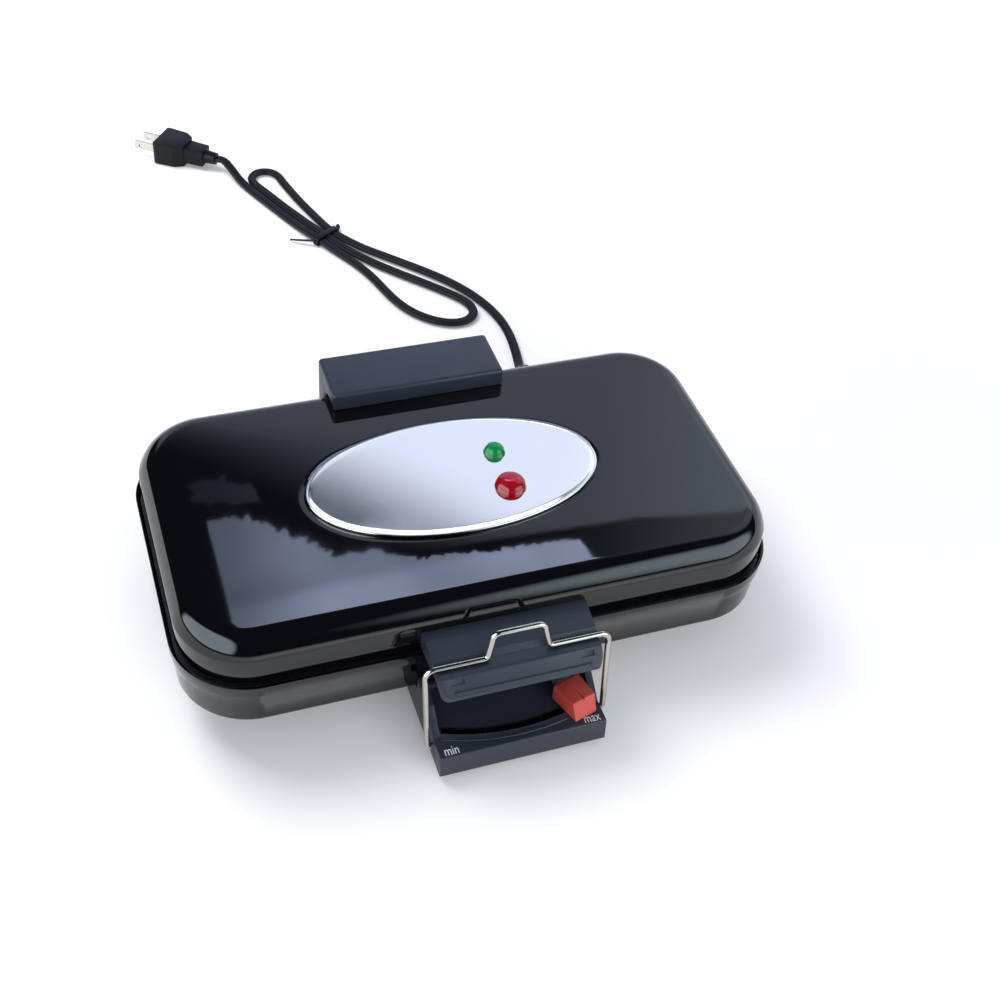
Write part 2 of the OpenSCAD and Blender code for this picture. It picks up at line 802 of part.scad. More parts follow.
// Heat control, modelled on the middle plane and turned to its end

module at_control() {
    placed() translate([0, -shaft_y]) rotate(control_turn) children();
}

tab_t = 1.6;
arm_w = 9;
hub_d = 13;
hub_h = 3;

module control_lever() {
    arm_l = slot_r + tab_t / 2;
    color(steel) at_control() {
        translate([0, 0, lever_z]) cylinder(d = hub_d, h = hub_h);
        translate([0, 0, lever_z]) cylinder(d = shaft_d, h = shaft_top - lever_z);
        translate([-arm_w / 2, -arm_l, lever_z]) cube([arm_w, arm_l, lever_t]);
        translate([-arm_w / 2, -arm_l, tab_low]) cube([arm_w, tab_t, lever_z + lever_t - tab_low]);
    }
}

knob_back = slot_r - 8;
knob_top_front = slot_r + 6.8;
knob_front = slot_r + 10.8;
knob_z = bar_top + strip_rise + 0.4;
knob_fit = 0.1;
pointer_w = 0.8;
pointer_back = slot_r - 0.5;

module control_knob() {
    top = knob_z + knob_h;
    socket_w = arm_w + 2 * knob_fit;
    color("#b8403a") at_control() difference() {
        intersection() {
            across(2 * knob_w) polygon(rounded([[-knob_front, knob_z, 0.5], [-knob_top_front, top, 1.2],
                [-knob_back, top - 0.6, 1.2], [-knob_back, knob_z, 0]], 4));
            linear_extrude(through) polygon(rounded([[-knob_w / 2, -knob_back, 1],
                [knob_w / 2, -knob_back, 1], [knob_front_w / 2, -knob_front, 1],
                [-knob_front_w / 2, -knob_front, 1]], 4));
        }
        translate([-pointer_w / 2, -knob_front, top - 1])
            cube([pointer_w, knob_front - pointer_back, 3]);
        translate([-socket_w / 2, -slot_r - tab_t / 2 - knob_fit])
            cube([socket_w, tab_t + 2 * knob_fit, lever_z + lever_t + knob_fit]);
        translate([-socket_w / 2, -slot_r, lever_z - knob_fit])
            cube([socket_w, slot_r, lever_t + 2 * knob_fit]);
    }
}

// Latch: one wire bent in a plane, path points are [across, up from the pivot, bend radius].
// Each straight run is thinner than its bends by the seam and is tucked into their ends.

seam_l = 10 * seam;

// Half the angle between the runs from b to a and from b to c, and how far the bend reaches
function half_bend(a, b, c) = acos(unit(a - b) * unit(c - b)) / 2;
function bend_reach(a, b, c) = b[2] / tan(half_bend(flat(a), flat(b), flat(c)));

module wire_bend(a, b, c, r) {
    half = half_bend(a, b, c);
    middle = b + unit(unit(a - b) + unit(c - b)) * r / sin(half);
    start = b + unit(a - b) * r / tan(half) - middle;
    end = b + unit(c - b) * r / tan(half) - middle;
    first = cross(start, end) > 0 ? start : end;
    translate(middle) rotate(atan2(first[1], first[0]))
        rotate_extrude(angle = 180 - 2 * half, $fn = 48) translate([r, 0]) circle(d = wire_d);
}

module bent_wire(points) {
    n = len(points);
    reach = [for (i = [0:n - 1])
        i == 0 || i == n - 1 ? 0 : bend_reach(points[i - 1], points[i], points[i + 1])];
    for (i = [0:n - 2]) {
        a = flat(points[i]);
        b = flat(points[i + 1]);
        way = unit(b - a);
        run = norm(b - a) - reach[i] - reach[i + 1];
        translate(a + way * (reach[i] - seam_l)) rotate(atan2(way[1], way[0])) rightwards()
            cylinder(d = wire_d - 2 * seam, h = run + 2 * seam_l, $fn = 48);
    }
    for (i = [1:n - 2]) wire_bend(flat(points[i - 1]), flat(points[i]), flat(points[i + 1]), points[i][2]);
}

pivot_depth = 3.4;
leg_splay = 0.6;

module latch_bail() {
    pivot_in = lower_handle_w / 2 - pivot_depth;
    half = [[pivot_in, 0, 0], [latch_x, 0, 2.2], [latch_x + leg_splay, latch_r, 4.5],
        [loop_foot, latch_r, 2.4], [loop_top, latch_r + loop_h, 3.6]];
    left = [for (p = half) [-p[0], p[1], p[2]]];
    right = [for (i = [len(half) - 1:-1:0]) half[i]];
    color(steel) placed() translate([0, latch_y, latch_z]) rotate([90 - latch_lean, 0, 0])
        bent_wire(concat(left, right));
}

// Hinge

bracket_d = 10;
bracket_top = hinge_z - knuckle_r - 0.6;
bracket_bottom = foot_h + 5;
block_screw_l = 8;
upper_half = hinge_w / 2 - ear_w - clearance;

module hinge_bore() {
    translate([0, hinge_y, hinge_z]) rightwards()
        cylinder(r = hinge_pin_d / 2 + fit, h = hinge_w + 2 * cut, center = true);
}

module lower_hinge_bracket() {
    front = band_d / 2;
    back = front + bracket_d;
    ear_back = hinge_y + 4;
    color(plastic) placed() difference() {
        union() {
            across(hinge_w) polygon(rounded([[front, bracket_bottom + 2, 0], [back, bracket_bottom, 2],
                [back, bracket_top, 1], [front, bracket_top, 0]], 4));
            both_sides(hinge_w / 2 - ear_w / 2) {
                across(ear_w) translate([hinge_y, hinge_z]) circle(knuckle_r);
                across(ear_w) polygon([[front, bracket_top - 1], [ear_back, bracket_top - 1],
                    [ear_back, hinge_z - 5], [hinge_y - knuckle_r, hinge_z], [front + 0.4, hinge_z - 2]]);
            }
        }
        hinge_bore();
        at_bracket_screws(0) screw_hole(front + block_screw_l);
    }
}

module lower_hinge_screws() {
    seat = wall_y(bracket_screw_z - screw_head_d / 2) - base_t - seat_gap / 2;
    color(steel) placed() at_bracket_screws(seat) screw(block_screw_l + base_t);
}

module hinge_pin() {
    color(steel) placed() translate([0, hinge_y, hinge_z]) rightwards()
        cylinder(d = hinge_pin_d, h = hinge_w - 1, center = true);
}

block_gap = 1.2;
block_back = hinge_y + 2.3;
block_front = block_back - block_d;
block_top = lid_top + block_rise;
block_low = hinge_z + knuckle_r + 0.6;
block_screw_x = 34;
block_screw_y = lid_back - shoulder_r - 4;
block_screw_z = lid_z + 9.5;
block_boss_d = 7.6;
block_hole_l = block_screw_l + cut;

module at_block_top(z) { both_sides(block_screw_x) translate([0, block_screw_y, z]) children(); }

module at_block_back(y) {
    both_sides(block_screw_x) translate([0, y, block_screw_z]) backwards() children();
}

module upper_hinge_block() {
    bend_y = lid_back - shoulder_r;
    bend_z = lid_z + skirt_h;
    color(plastic) placed() difference() {
        union() {
            difference() {
                union() {
                    across(hinge_w) polygon(rounded([[block_front, lid_top, 0.5],
                        [block_front, block_top, 2], [block_back, block_top, 2], [block_back, block_low, 0],
                        [lid_back, block_low, 0], [bend_y, bend_z, 0], [bend_y, lid_top, 0]], 5));
                    across(2 * upper_half) polygon([[lid_back, hinge_z + 1.5], [hinge_y, hinge_z],
                        [block_back, hinge_z], [block_back, block_low + 0.4], [lid_back, block_low + 0.4]]);
                    across(2 * upper_half) translate([hinge_y, hinge_z]) circle(knuckle_r);
                }
                across(hinge_w + 2) translate([bend_y, bend_z]) circle(shoulder_r + block_gap, $fn = 96);
                across(hinge_w + 2) translate([block_front + 4, 0])
                    square([bend_y - block_front - 4, lid_top + block_gap]);
            }
            at_block_top(lid_top) cylinder(d = block_boss_d, h = 3);
        }
        translate([-hinge_w, bend_y - 1, 0]) cube([2 * hinge_w, shoulder_r + 1, bend_z]);
        hinge_bore();
        at_block_top(lid_top - cut) screw_hole(block_screw_l);
        at_block_back(lid_back - cut) screw_hole(block_hole_l);
    }
}

module upper_hinge_screws() {
    color(steel) placed() {
        at_block_top(lid_top - lid_t) screw(block_screw_l - 1);
        at_block_back(lid_back - lid_t) screw(block_screw_l, head_h = small_head_h);
    }
}

// Lid

module lid_section(inset, h) {
    r = lid_corner_r - inset;
    s = shoulder_r - inset;
    square([r - s, h]);
    square([r, h - s]);
    translate([r - s, h - s]) intersection() {
        circle(s);
        square(s);
    }
}

lamp_hole_gap = 0.2;
red_stem_d = 12;
green_stem_d = 8;
stem_below = 1.5;
handle_bolt_x = 26;
handle_bolt_z = lid_z + 6.5;
handle_bolt_l = 11;
badge_gap = 0.7;
badge_pad = 2;

module at_lenses(which) {
    if (which != "green") translate([lens_x, red_y]) children();
    if (which != "red") translate([lens_x, green_y]) children();
}

// Cutter for both lenses' stems
module lens_holes() {
    translate([0, 0, lid_z]) {
        at_lenses("red") cylinder(d = red_stem_d + 2 * lamp_hole_gap, h = through);
        at_lenses("green") cylinder(d = green_stem_d + 2 * lamp_hole_gap, h = through);
    }
}

module at_handle_bolts(y) {
    both_sides(handle_bolt_x) translate([0, y, handle_bolt_z]) forwards() children();
}

module lid_shell() {
    lid_h = skirt_h + shoulder_r;
    inner_h = lid_h - lid_t + cut;
    in = 2 * lid_t;
    color(enamel) placed() difference() {
        union() {
            translate([0, 0, lid_z]) difference() {
                section_round(lid_w, lid_d, lid_corner_r, lid_h) lid_section(0, lid_h);
                translate([0, 0, -cut]) section_round(lid_w - in, lid_d - in, lid_corner_r - lid_t, inner_h)
                    lid_section(lid_t, inner_h);
            }
            translate([0, 0, seat_z - lid_t])
                oval(badge_w + 2 * badge_pad, badge_d + 2 * badge_pad, lid_t + tiny);
        }
        translate([0, 0, seat_z]) oval(badge_w + 2 * badge_gap, badge_d + 2 * badge_gap, 5);
        translate([0, 0, lid_z]) at_posts() screw_hole(through);
        lens_holes();
        at_handle_bolts(0) screw_hole(lid_d);
        at_block_back(0) screw_hole(lid_d);
        at_block_top(lid_z) screw_hole(through);
    }
}

badge_bead = 0.3;

module badge_plate() {
    border = 2 * badge_border_w;
    color(steel) placed() difference() {
        union() {
            translate([0, 0, badge_z - badge_t])
                oval(badge_w - badge_border_w, badge_d - badge_border_w, badge_t);
            difference() {
                translate([0, 0, seat_z]) oval(badge_w, badge_d, badge_z - seat_z + badge_bead);
                translate([0, 0, seat_z - cut]) oval(badge_w - border, badge_d - border, 10);
            }
        }
        lens_holes();
    }
}

// A lens: flange, dome cut from a sphere, and a hollow stem down into the lid
module lens(d, dome_d, flange_h, dome_h, stem_d, bore_d) {
    ball_r = (dome_d * dome_d / 4 + dome_h * dome_h) / (2 * dome_h);
    stem_l = badge_z - seat_z + lid_t + stem_below;
    difference() {
        union() {
            cylinder(d = d, h = flange_h);
            intersection() {
                translate([0, 0, flange_h + dome_h - ball_r]) sphere(ball_r, $fn = 96);
                translate([0, 0, flange_h - tiny]) cylinder(d = dome_d, h = dome_h + 1);
            }
            translate([0, 0, -stem_l]) cylinder(d = stem_d, h = stem_l);
        }
        translate([0, 0, -stem_l - cut]) cylinder(d = bore_d, h = stem_l + flange_h);
    }
}

lamp_d = 5;
lens_bore_d = lamp_d + 0.8;
dome_h = 4.4;

module red_lens() {
    color("#b01020", 0.8) placed() translate([lens_x, red_y, badge_z])
        lens(red_d, red_d - 1, 1.4, dome_h, red_stem_d, lens_bore_d);
}

module green_lens() {
    color("#0a8040", 0.8) placed() translate([lens_x, green_y, badge_z])
        lens(green_d, green_d - 0.4, 1, dome_h, green_stem_d, lens_bore_d);
}

// Neon lamp: glass tube on a collar that sits under the lens's stem
module lamp(stem_d) {
    stem_end = seat_z - lid_t - stem_below;
    collar_h = 1.5;
    color("#e8c0a0") translate([0, 0, stem_end]) {
        translate([0, 0, -collar_h - 0.1]) cylinder(d = stem_d, h = collar_h);
        translate([0, 0, -0.2]) cylinder(d = lamp_d, h = badge_z - stem_end - 0.6);
    }
}

module red_lamp() { placed() at_lenses("red") lamp(red_stem_d); }

module green_lamp() { placed() at_lenses("green") lamp(green_stem_d); }

// The stack over the upper plate
upper_plate_z = upper_face + plate_h;
upper_shoulder_z = upper_plate_z + shoulder_drop;
upper_reflector_z = upper_shoulder_z + seat_gap;
upper_element_z = upper_plate_z + tube_d / 2 + tube_gap;
pad_z = seat_z - lid_t;
upper_post_l = pad_z - upper_plate_z - 0.1;

module upside_down() { rotate([180, 0, 0]) children(); }

module upper_grid_plate() {
    color(cast) placed() translate([0, 0, upper_face]) upside_down()
        grid_plate(upper_flange_w, upper_flange_d, lid_corner_r - lid_t - upper_slack, upper_post_l);
}

module upper_plate_spacers() {
    top = upper_reflector_z + reflector_t;
    color(steel) placed() at_posts() translate([0, 0, top]) difference() {
        cylinder(d = post_d, h = pad_z - top);
        translate([0, 0, -cut]) cylinder(d = post_hole_d, h = pad_z - top + 2 * cut);
    }
}

module upper_plate_screws() {
    color(steel) placed() at_posts() translate([0, 0, seat_z]) upside_down()
        screw(post_thread_l, head_h = 1.2, head_d = 7);
}

module upper_heating_element() {
    color(steel) placed() translate([0, 0, upper_element_z]) heating_element();
}

module upper_element_clips() {
    color(steel) placed() translate([0, 0, upper_element_z]) upside_down() at_clips() element_clip();
}

module upper_clip_screws() {
    color(steel) placed() translate([0, 0, upper_element_z]) upside_down() at_clips() clip_screw();
}

module upper_reflector() {
    color(steel) placed() translate([0, 0, upper_reflector_z + reflector_t]) upside_down()
        reflector(reflector_w, reflector_d, reflector_r);
}

// Upper handle

handle_root_top = lid_z + 11;
grip_y = latch_y + 3.7;
cam_r = latch_r - wire_d / 2 - clearance;
lip_front = lid_front - upper_reach;
lip_edge_h = 2.3;
lip_foot = 4.5;
lip_back = 11;
lip_line_at = 0.77;
lip_line_r = 0.7;
lip_line_up = 0.35;
grip_mark = [6.8, 2.8];
grip_mark_x = 32;
grip_mark_at = 0.27;
grip_mark_depth = 0.6;

function cam_z(y) = latch_z + sqrt(cam_r * cam_r - (y - latch_y) * (y - latch_y));

module upper_handle() {
    rest_y = latch_y + latch_r * sin(latch_lean);
    ridge = [grip_y, cam_z(grip_y) - 0.3];
    lip_bottom = ridge[1] - lip_drop;
    lip_edge = [lip_front, lip_bottom + lip_edge_h];
    root_bottom = lid_z + 1;
    slope = unit(lip_edge - ridge);
    line = ridge + lip_line_at * (lip_edge - ridge) + [slope[1], -slope[0]] * (lip_line_r - lip_line_up);
    mark = ridge + grip_mark_at * (lip_edge - ridge);
    color(plastic) placed() difference() {
        union() {
            intersection() {
                across(2 * upper_handle_w) polygon(rounded([[lid_front, root_bottom, 0],
                    [lid_front, handle_root_top, 0],
                    [rest_y + 4.6, handle_root_top - 1.6, 1], [rest_y + 1.6, cam_z(rest_y) - 0.2, 1],
                    concat(ridge, 2), concat(lip_edge, 1.4), [lip_front, lip_bottom, 1.3],
                    [lip_front + lip_foot, lip_bottom + 0.2, 1.5],
                    [lip_front + lip_back, root_bottom, 2]], 5));
                linear_extrude(2 * through) polygon(rounded([[-upper_handle_w / 2, lid_front, 0],
                    [upper_handle_w / 2, lid_front, 0], [upper_lip_w / 2, lip_front, 5],
                    [-upper_lip_w / 2, lip_front, 5]], 6));
            }
            across(upper_lip_w - 12) translate(line) circle(lip_line_r);
        }
        at_handle_bolts(lid_front + cut) screw_hole(handle_bolt_l + cut);
        both_sides(grip_mark_x) translate([0, mark[0], mark[1]])
            rotate([atan2(slope[1], slope[0]) + 180, 0, 0])
                cube([grip_mark[0], grip_mark[1], 2 * grip_mark_depth], center = true);
    }
}

module upper_handle_screws() {
    color(steel) placed() at_handle_bolts(lid_front + lid_t) screw(handle_bolt_l);
}

// Cord. The route starts at the end of the strain relief and ends at the plug's neck.

relief_end_y = band_d / 2 + relief_l;
cord_route = [[86, 113, 31], [86, 119, 31], [87, 126.5, 28], [89, 134, 20.5], [91.8, 141.5, 12.5],
    [94.5, 149.5, 5.8], [97.2, 159, 2.6], [99.4, 171, 2.2], [101, 184, 2.2], [101.4, 197, 2.2],
    [99.8, 210.5, 2.2], [96, 224, 2.2], [89.8, 238, 2.2], [80.6, 252.6, 2.2], [69.6, 266, 2.2],
    [57.8, 278.6, 2.2], [45.8, 291, 2.2], [34.6, 302.6, 2.2], [25.4, 313.8, 2.6], [17.8, 325.3, 3],
    [13.8, 336.4, 2.6], [10.6, 347.6, 2.2], [7.2, 359, 2.2], [4, 370.4, 2.2], [1.2, 382, 2.2],
    [-1.4, 393.6, 2.2], [-3.8, 405, 2.2], [-9.2, 410.8, 2.2], [-16.8, 411, 2.2], [-22, 405.4, 2.2],
    [-22.2, 397.8, 2.2], [-17.2, 386, 2.2], [-12, 374, 2.2], [-6.8, 362, 2.2], [-1.2, 350.2, 2.2],
    [4.6, 338.2, 2.2], [8.8, 329.6, 2.6], [12.4, 321.8, 3], [17.6, 312.4, 2.6], [23.4, 302.8, 2.2],
    [30.6, 292.6, 2.2], [38.8, 282.2, 2.2], [47.6, 272.2, 2.2], [56.8, 262.4, 2.2], [66, 252.6, 2.2],
    [74.8, 242.8, 2.2], [82.2, 233.4, 2.2], [86.2, 224.4, 2.2], [85.2, 215.6, 2.2], [78.8, 210.2, 2.2],
    [70, 209.6, 2.2], [61, 213.2, 2.2], [52.6, 219.8, 2.2], [45.4, 228.8, 2.2], [40, 239.6, 2.2],
    [36.2, 251, 2.2], [33, 263, 2.2], [29.2, 275, 2.2], [24.4, 286.4, 2.2], [18.6, 297.4, 2.2],
    [12.6, 308, 2.6], [7, 318.3, 3], [0.6, 330.2, 2.6], [-5.4, 342.4, 2.2], [-11, 354.8, 2.2],
    [-16.4, 367, 2.2], [-21.8, 379.2, 2.2], [-27, 391.4, 2.2], [-31.6, 402.6, 3.6], [-35.2, 412.4, 6.6],
    [-38.8, 422, 8.2], [-43.6, 425.6, 8.2]];
plug_way = [-0.8, 0.6];
plug_turn = atan2(plug_way[1], plug_way[0]);
plug_axis_z = 8.2;
cord_n = len(cord_route);

// The run from the point before to the point after, and the cord's side and upper directions there
function cord_run(i) = cord_route[min(i + 1, cord_n - 1)] - cord_route[max(i - 1, 0)];
function cord_side(i) = let (run = cord_run(i)) unit([run[1], -run[0], 0]);
function cord_up(i) = unit(cross(cord_side(i), cord_run(i)));

module mains_cord() {
    sides = 8;
    grow = 1 / cos(180 / sides);
    points = [for (i = [0:cord_n - 1], k = [0:sides - 1])
        let (a = 360 * (k + 0.5) / sides, x = cord_w / 2 * cos(a) * grow, z = cord_t / 2 * sin(a) * grow)
        cord_route[i] + cord_side(i) * x + cord_up(i) * z];
    walls = [for (i = [0:cord_n - 2], k = [0:sides - 1])
        let (a = i * sides + k, b = i * sides + (k + 1) % sides)
        each [[a, b, b + sides], [a, b + sides, a + sides]]];
    first = [for (k = [sides - 1:-1:0]) k];
    last = [for (k = [0:sides - 1]) (cord_n - 1) * sides + k];
    echo(cord_length = cord_length, least_gap = min(cord_gaps));
    color(black_plastic) placed() polyhedron(points, concat(walls, [first, last]), convexity = 10);
}

// Least gap between turns of the cord that lie beside or over each other
cord_apart = 16;
cord_samples = [for (i = [0:cord_n - 2], t = [0:0.25:0.75])
    cord_route[i] * (1 - t) + cord_route[i + 1] * t];
sample_n = len(cord_samples);
cord_gaps = [for (i = [0:sample_n - 1 - cord_apart], j = [i + cord_apart:sample_n - 1])
    let (step = cord_samples[j] - cord_samples[i]) max(norm(flat(step)) - cord_w, abs(step[2]) - cord_t)];
cord_steps = [for (i = [1:cord_n - 1]) norm(cord_route[i] - cord_route[i - 1])];
cord_length = cord_steps * [for (step = cord_steps) 1];

relief_collar_d = 13;
relief_root_d = 10.8;
relief_ring_d = 11.9;
relief_rings = 5;

module strain_relief() {
    inside = 5;
    lean = 0.5;
    neck = base_t + 2 * lean;
    wall = wall_y(cord_exit_z);
    color(black_plastic) placed() translate([cord_exit_x, wall - base_t - lean, cord_exit_z]) backwards() {
        translate([0, 0, -inside]) cylinder(d = 9, h = inside + 1);
        translate([0, 0, -1.6]) cylinder(d = relief_collar_d, h = 1.6);
        cylinder(d = relief_neck_d - 2 * fit, h = neck + 0.4);
        translate([0, 0, neck]) cylinder(d = relief_collar_d, h = 2.2);
        translate([0, 0, neck + 2]) {
            cylinder(d1 = relief_root_d, d2 = 8, h = relief_end_y - wall - lean - 2);
            for (i = [1:relief_rings]) translate([0, 0, 4 * i])
                cylinder(d = relief_ring_d - 0.52 * i, h = 1.6);
        }
    }
}

module at_plug() {
    end = cord_route[cord_n - 1];
    placed() translate([end[0], end[1], plug_axis_z]) rotate(plug_turn) children();
}

// The plug lies on its flat side; x counts from the end of the cord to the blades
plug_neck_l = 8.5;
plug_grip_l = 14;
plug_head_l = 22;
plug_head_x = plug_neck_l + plug_grip_l;
plug_l = plug_head_x + plug_head_l;
plug_head_w = 25;
plug_head_h = 2 * plug_axis_z - 0.4;
plug_grip_h = 11;

module plug_body() {
    grip_end = plug_head_x + 1;
    half = plug_head_w / 2;
    right = [[plug_head_x, -7.5, 1], [plug_head_x + 6, 1 - half, 3], [plug_l - 2, -half, 1],
        [plug_l, 0.8 - half, 1]];
    left = [for (i = [3:-1:0]) [right[i][0], -right[i][1], right[i][2]]];
    color(black_plastic) at_plug() {
        rightwards() cylinder(d1 = 8.4, d2 = 9.6, h = plug_neck_l + tiny);
        translate([0, 0, -plug_grip_h / 2]) linear_extrude(plug_grip_h)
            polygon([[plug_neck_l, -6.2], [grip_end, -7], [grip_end, 7], [plug_neck_l, 6.2]]);
        translate([0, 0, -plug_head_h / 2]) linear_extrude(plug_head_h)
            polygon(rounded(concat(right, left), 4));
    }
}

blade_gap = 12.7;
blade_l = 17.5;
blade_w = 6.4;
blade_t = 1.5;

module plug_blades() {
    w = blade_w / 2;
    color("#c8b070") at_plug() for (y = [-1, 1]) translate([plug_l, y * blade_gap / 2, 0]) forwards()
        linear_extrude(blade_t, center = true) difference() {
            polygon(rounded([[0, -w, 0], [blade_l, -w, 1.6], [blade_l, w, 1.6], [0, w, 0]], 4));
            translate([blade_l - 5, 0]) circle(d = 3.2);
        }
}

// Twist tie: a flat band round three runs of cord, a twisted end and a thin loose end
tie_at = [12.4, 321.8];
tie_way = -57;
tie_half = 10;
tie_low = 0.1;
tie_high = 5.1;
tie_t = 0.8;
tie_w = 4.4;

module cord_tie() {
    out = tie_half + tie_t;
    top = tie_high + tie_t;
    low = tie_low + tie_t;
    color(black_plastic) placed() translate([tie_at[0], tie_at[1], 0]) rotate(tie_way) {
        across(tie_w) difference() {
            polygon(rounded([[-out, tie_low, 1.2], [out, tie_low, 1.2], [out, top, 2], [-out, top, 2]], 4));
            polygon(rounded([[-tie_half, low, 0.6], [tie_half, low, 0.6], [tie_half, tie_high, 1.2],
                [-tie_half, tie_high, 1.2]], 4));
        }
        translate([0, out, 3]) rotate([-95, 0, 35]) {
            cylinder(d = 2, h = 5);
            for (i = [1:3]) translate([0, 0, 1.5 * i]) rotate([25, 0, 60 * i]) cylinder(d = 3, h = 1.2);
        }
        translate([0, -out, 4]) rotate([98, 0, -62]) cylinder(d1 = 1.6, d2 = 1.2, h = 18);
    }
}

base_shell();
foot(-1, -1);  // foot_front_left
foot(1, -1);  // foot_front_right
foot(-1, 1);  // foot_rear_left
foot(1, 1);  // foot_rear_right
foot_screws();
lower_grid_plate();
lower_plate_spacers();
lower_plate_screws();
lower_heating_element();
lower_element_clips();
lower_clip_screws();
lower_reflector();
thermostat();
thermostat_nut();
terminal_block();
lower_handle();
lower_handle_screws();
lower_handle_cover();
lower_cover_screws();
lower_hinge_bracket();
lower_hinge_screws();
hinge_pin();
strain_relief();
mains_cord();
plug_body();
plug_blades();
cord_tie();
control_lever();
control_knob();
latch_bail();
lid_shell();
badge_plate();
red_lens();
green_lens();
red_lamp();
green_lamp();
upper_grid_plate();
upper_plate_spacers();
upper_plate_screws();
upper_heating_element();
upper_element_clips();
upper_clip_screws();
upper_reflector();
upper_handle();
upper_handle_screws();
upper_hinge_block();
upper_hinge_screws();
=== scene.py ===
"""Looks of an electric krumkake iron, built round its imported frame.

The frame gives every piece its place. The lid, badge, lenses, latch wire and mains lead are made here as
finer meshes, the moulded and pressed parts are rounded copies of the frame's own, and the inner parts keep
the frame's meshes. Lengths are written in millimetres and turned to metres by MM.
"""

from __future__ import annotations

import json
import logging
import math
import random
from dataclasses import dataclass
from enum import Enum

import bmesh
import bpy
from mathutils import Matrix, Vector


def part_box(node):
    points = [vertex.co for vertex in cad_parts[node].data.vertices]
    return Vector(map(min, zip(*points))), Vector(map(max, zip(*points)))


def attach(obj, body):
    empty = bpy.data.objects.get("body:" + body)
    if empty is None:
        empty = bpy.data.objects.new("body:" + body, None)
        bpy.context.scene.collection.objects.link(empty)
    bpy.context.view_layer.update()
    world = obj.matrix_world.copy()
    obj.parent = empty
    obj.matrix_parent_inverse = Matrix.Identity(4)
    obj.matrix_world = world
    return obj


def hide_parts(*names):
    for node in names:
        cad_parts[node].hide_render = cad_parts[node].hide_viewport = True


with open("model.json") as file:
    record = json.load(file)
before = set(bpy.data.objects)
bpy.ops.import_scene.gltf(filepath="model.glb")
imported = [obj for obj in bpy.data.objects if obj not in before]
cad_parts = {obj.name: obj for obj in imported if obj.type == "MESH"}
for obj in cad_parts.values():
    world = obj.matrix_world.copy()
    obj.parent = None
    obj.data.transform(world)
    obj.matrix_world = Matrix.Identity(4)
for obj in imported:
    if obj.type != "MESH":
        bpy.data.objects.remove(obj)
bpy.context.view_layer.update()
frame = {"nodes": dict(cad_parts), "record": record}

MM = 0.001
ORIGIN_SHIFT = Vector((0.0, 12.5, 0.0))
HINGE_SHELF = 14.0
LOG = logging.getLogger("krumkake_iron")


class Body(Enum):
    """The frame's moving bodies."""

    BASE = "base"
    LID = "lid"
    LATCH = "latch"
    CONTROL = "control"


def linear(colour: str) -> tuple[float, float, float, float]:
    """Turns an sRGB hex colour to linear values.

    Args:
        colour: Six hex digits after a hash.

    Returns:
        Red, green, blue and an alpha of 1.
    """
    parts = [int(colour[i : i + 2], 16) / 255 for i in (1, 3, 5)]
    red, green, blue = (p / 12.92 if p <= 0.04045 else ((p + 0.055) / 1.055) ** 2.4 for p in parts)
    return red, green, blue, 1.0


def add_node(tree: bpy.types.NodeTree, kind: str, inputs: dict | None = None, **settings: object) -> bpy.types.Node:
    """Adds a node, sets its values and links its inputs.

    Args:
        tree: The tree that gets the node.
        kind: The node's type name.
        inputs: Values or output sockets, keyed by input name or number.
        settings: The node's own properties.

    Returns:
        The new node.
    """
    node = tree.nodes.new(kind)
    for name, value in settings.items():
        setattr(node, name, value)
    for key, value in (inputs or {}).items():
        if isinstance(value, bpy.types.NodeSocket):
            tree.links.new(value, node.inputs[key])
        else:
            node.inputs[key].default_value = value
    return node


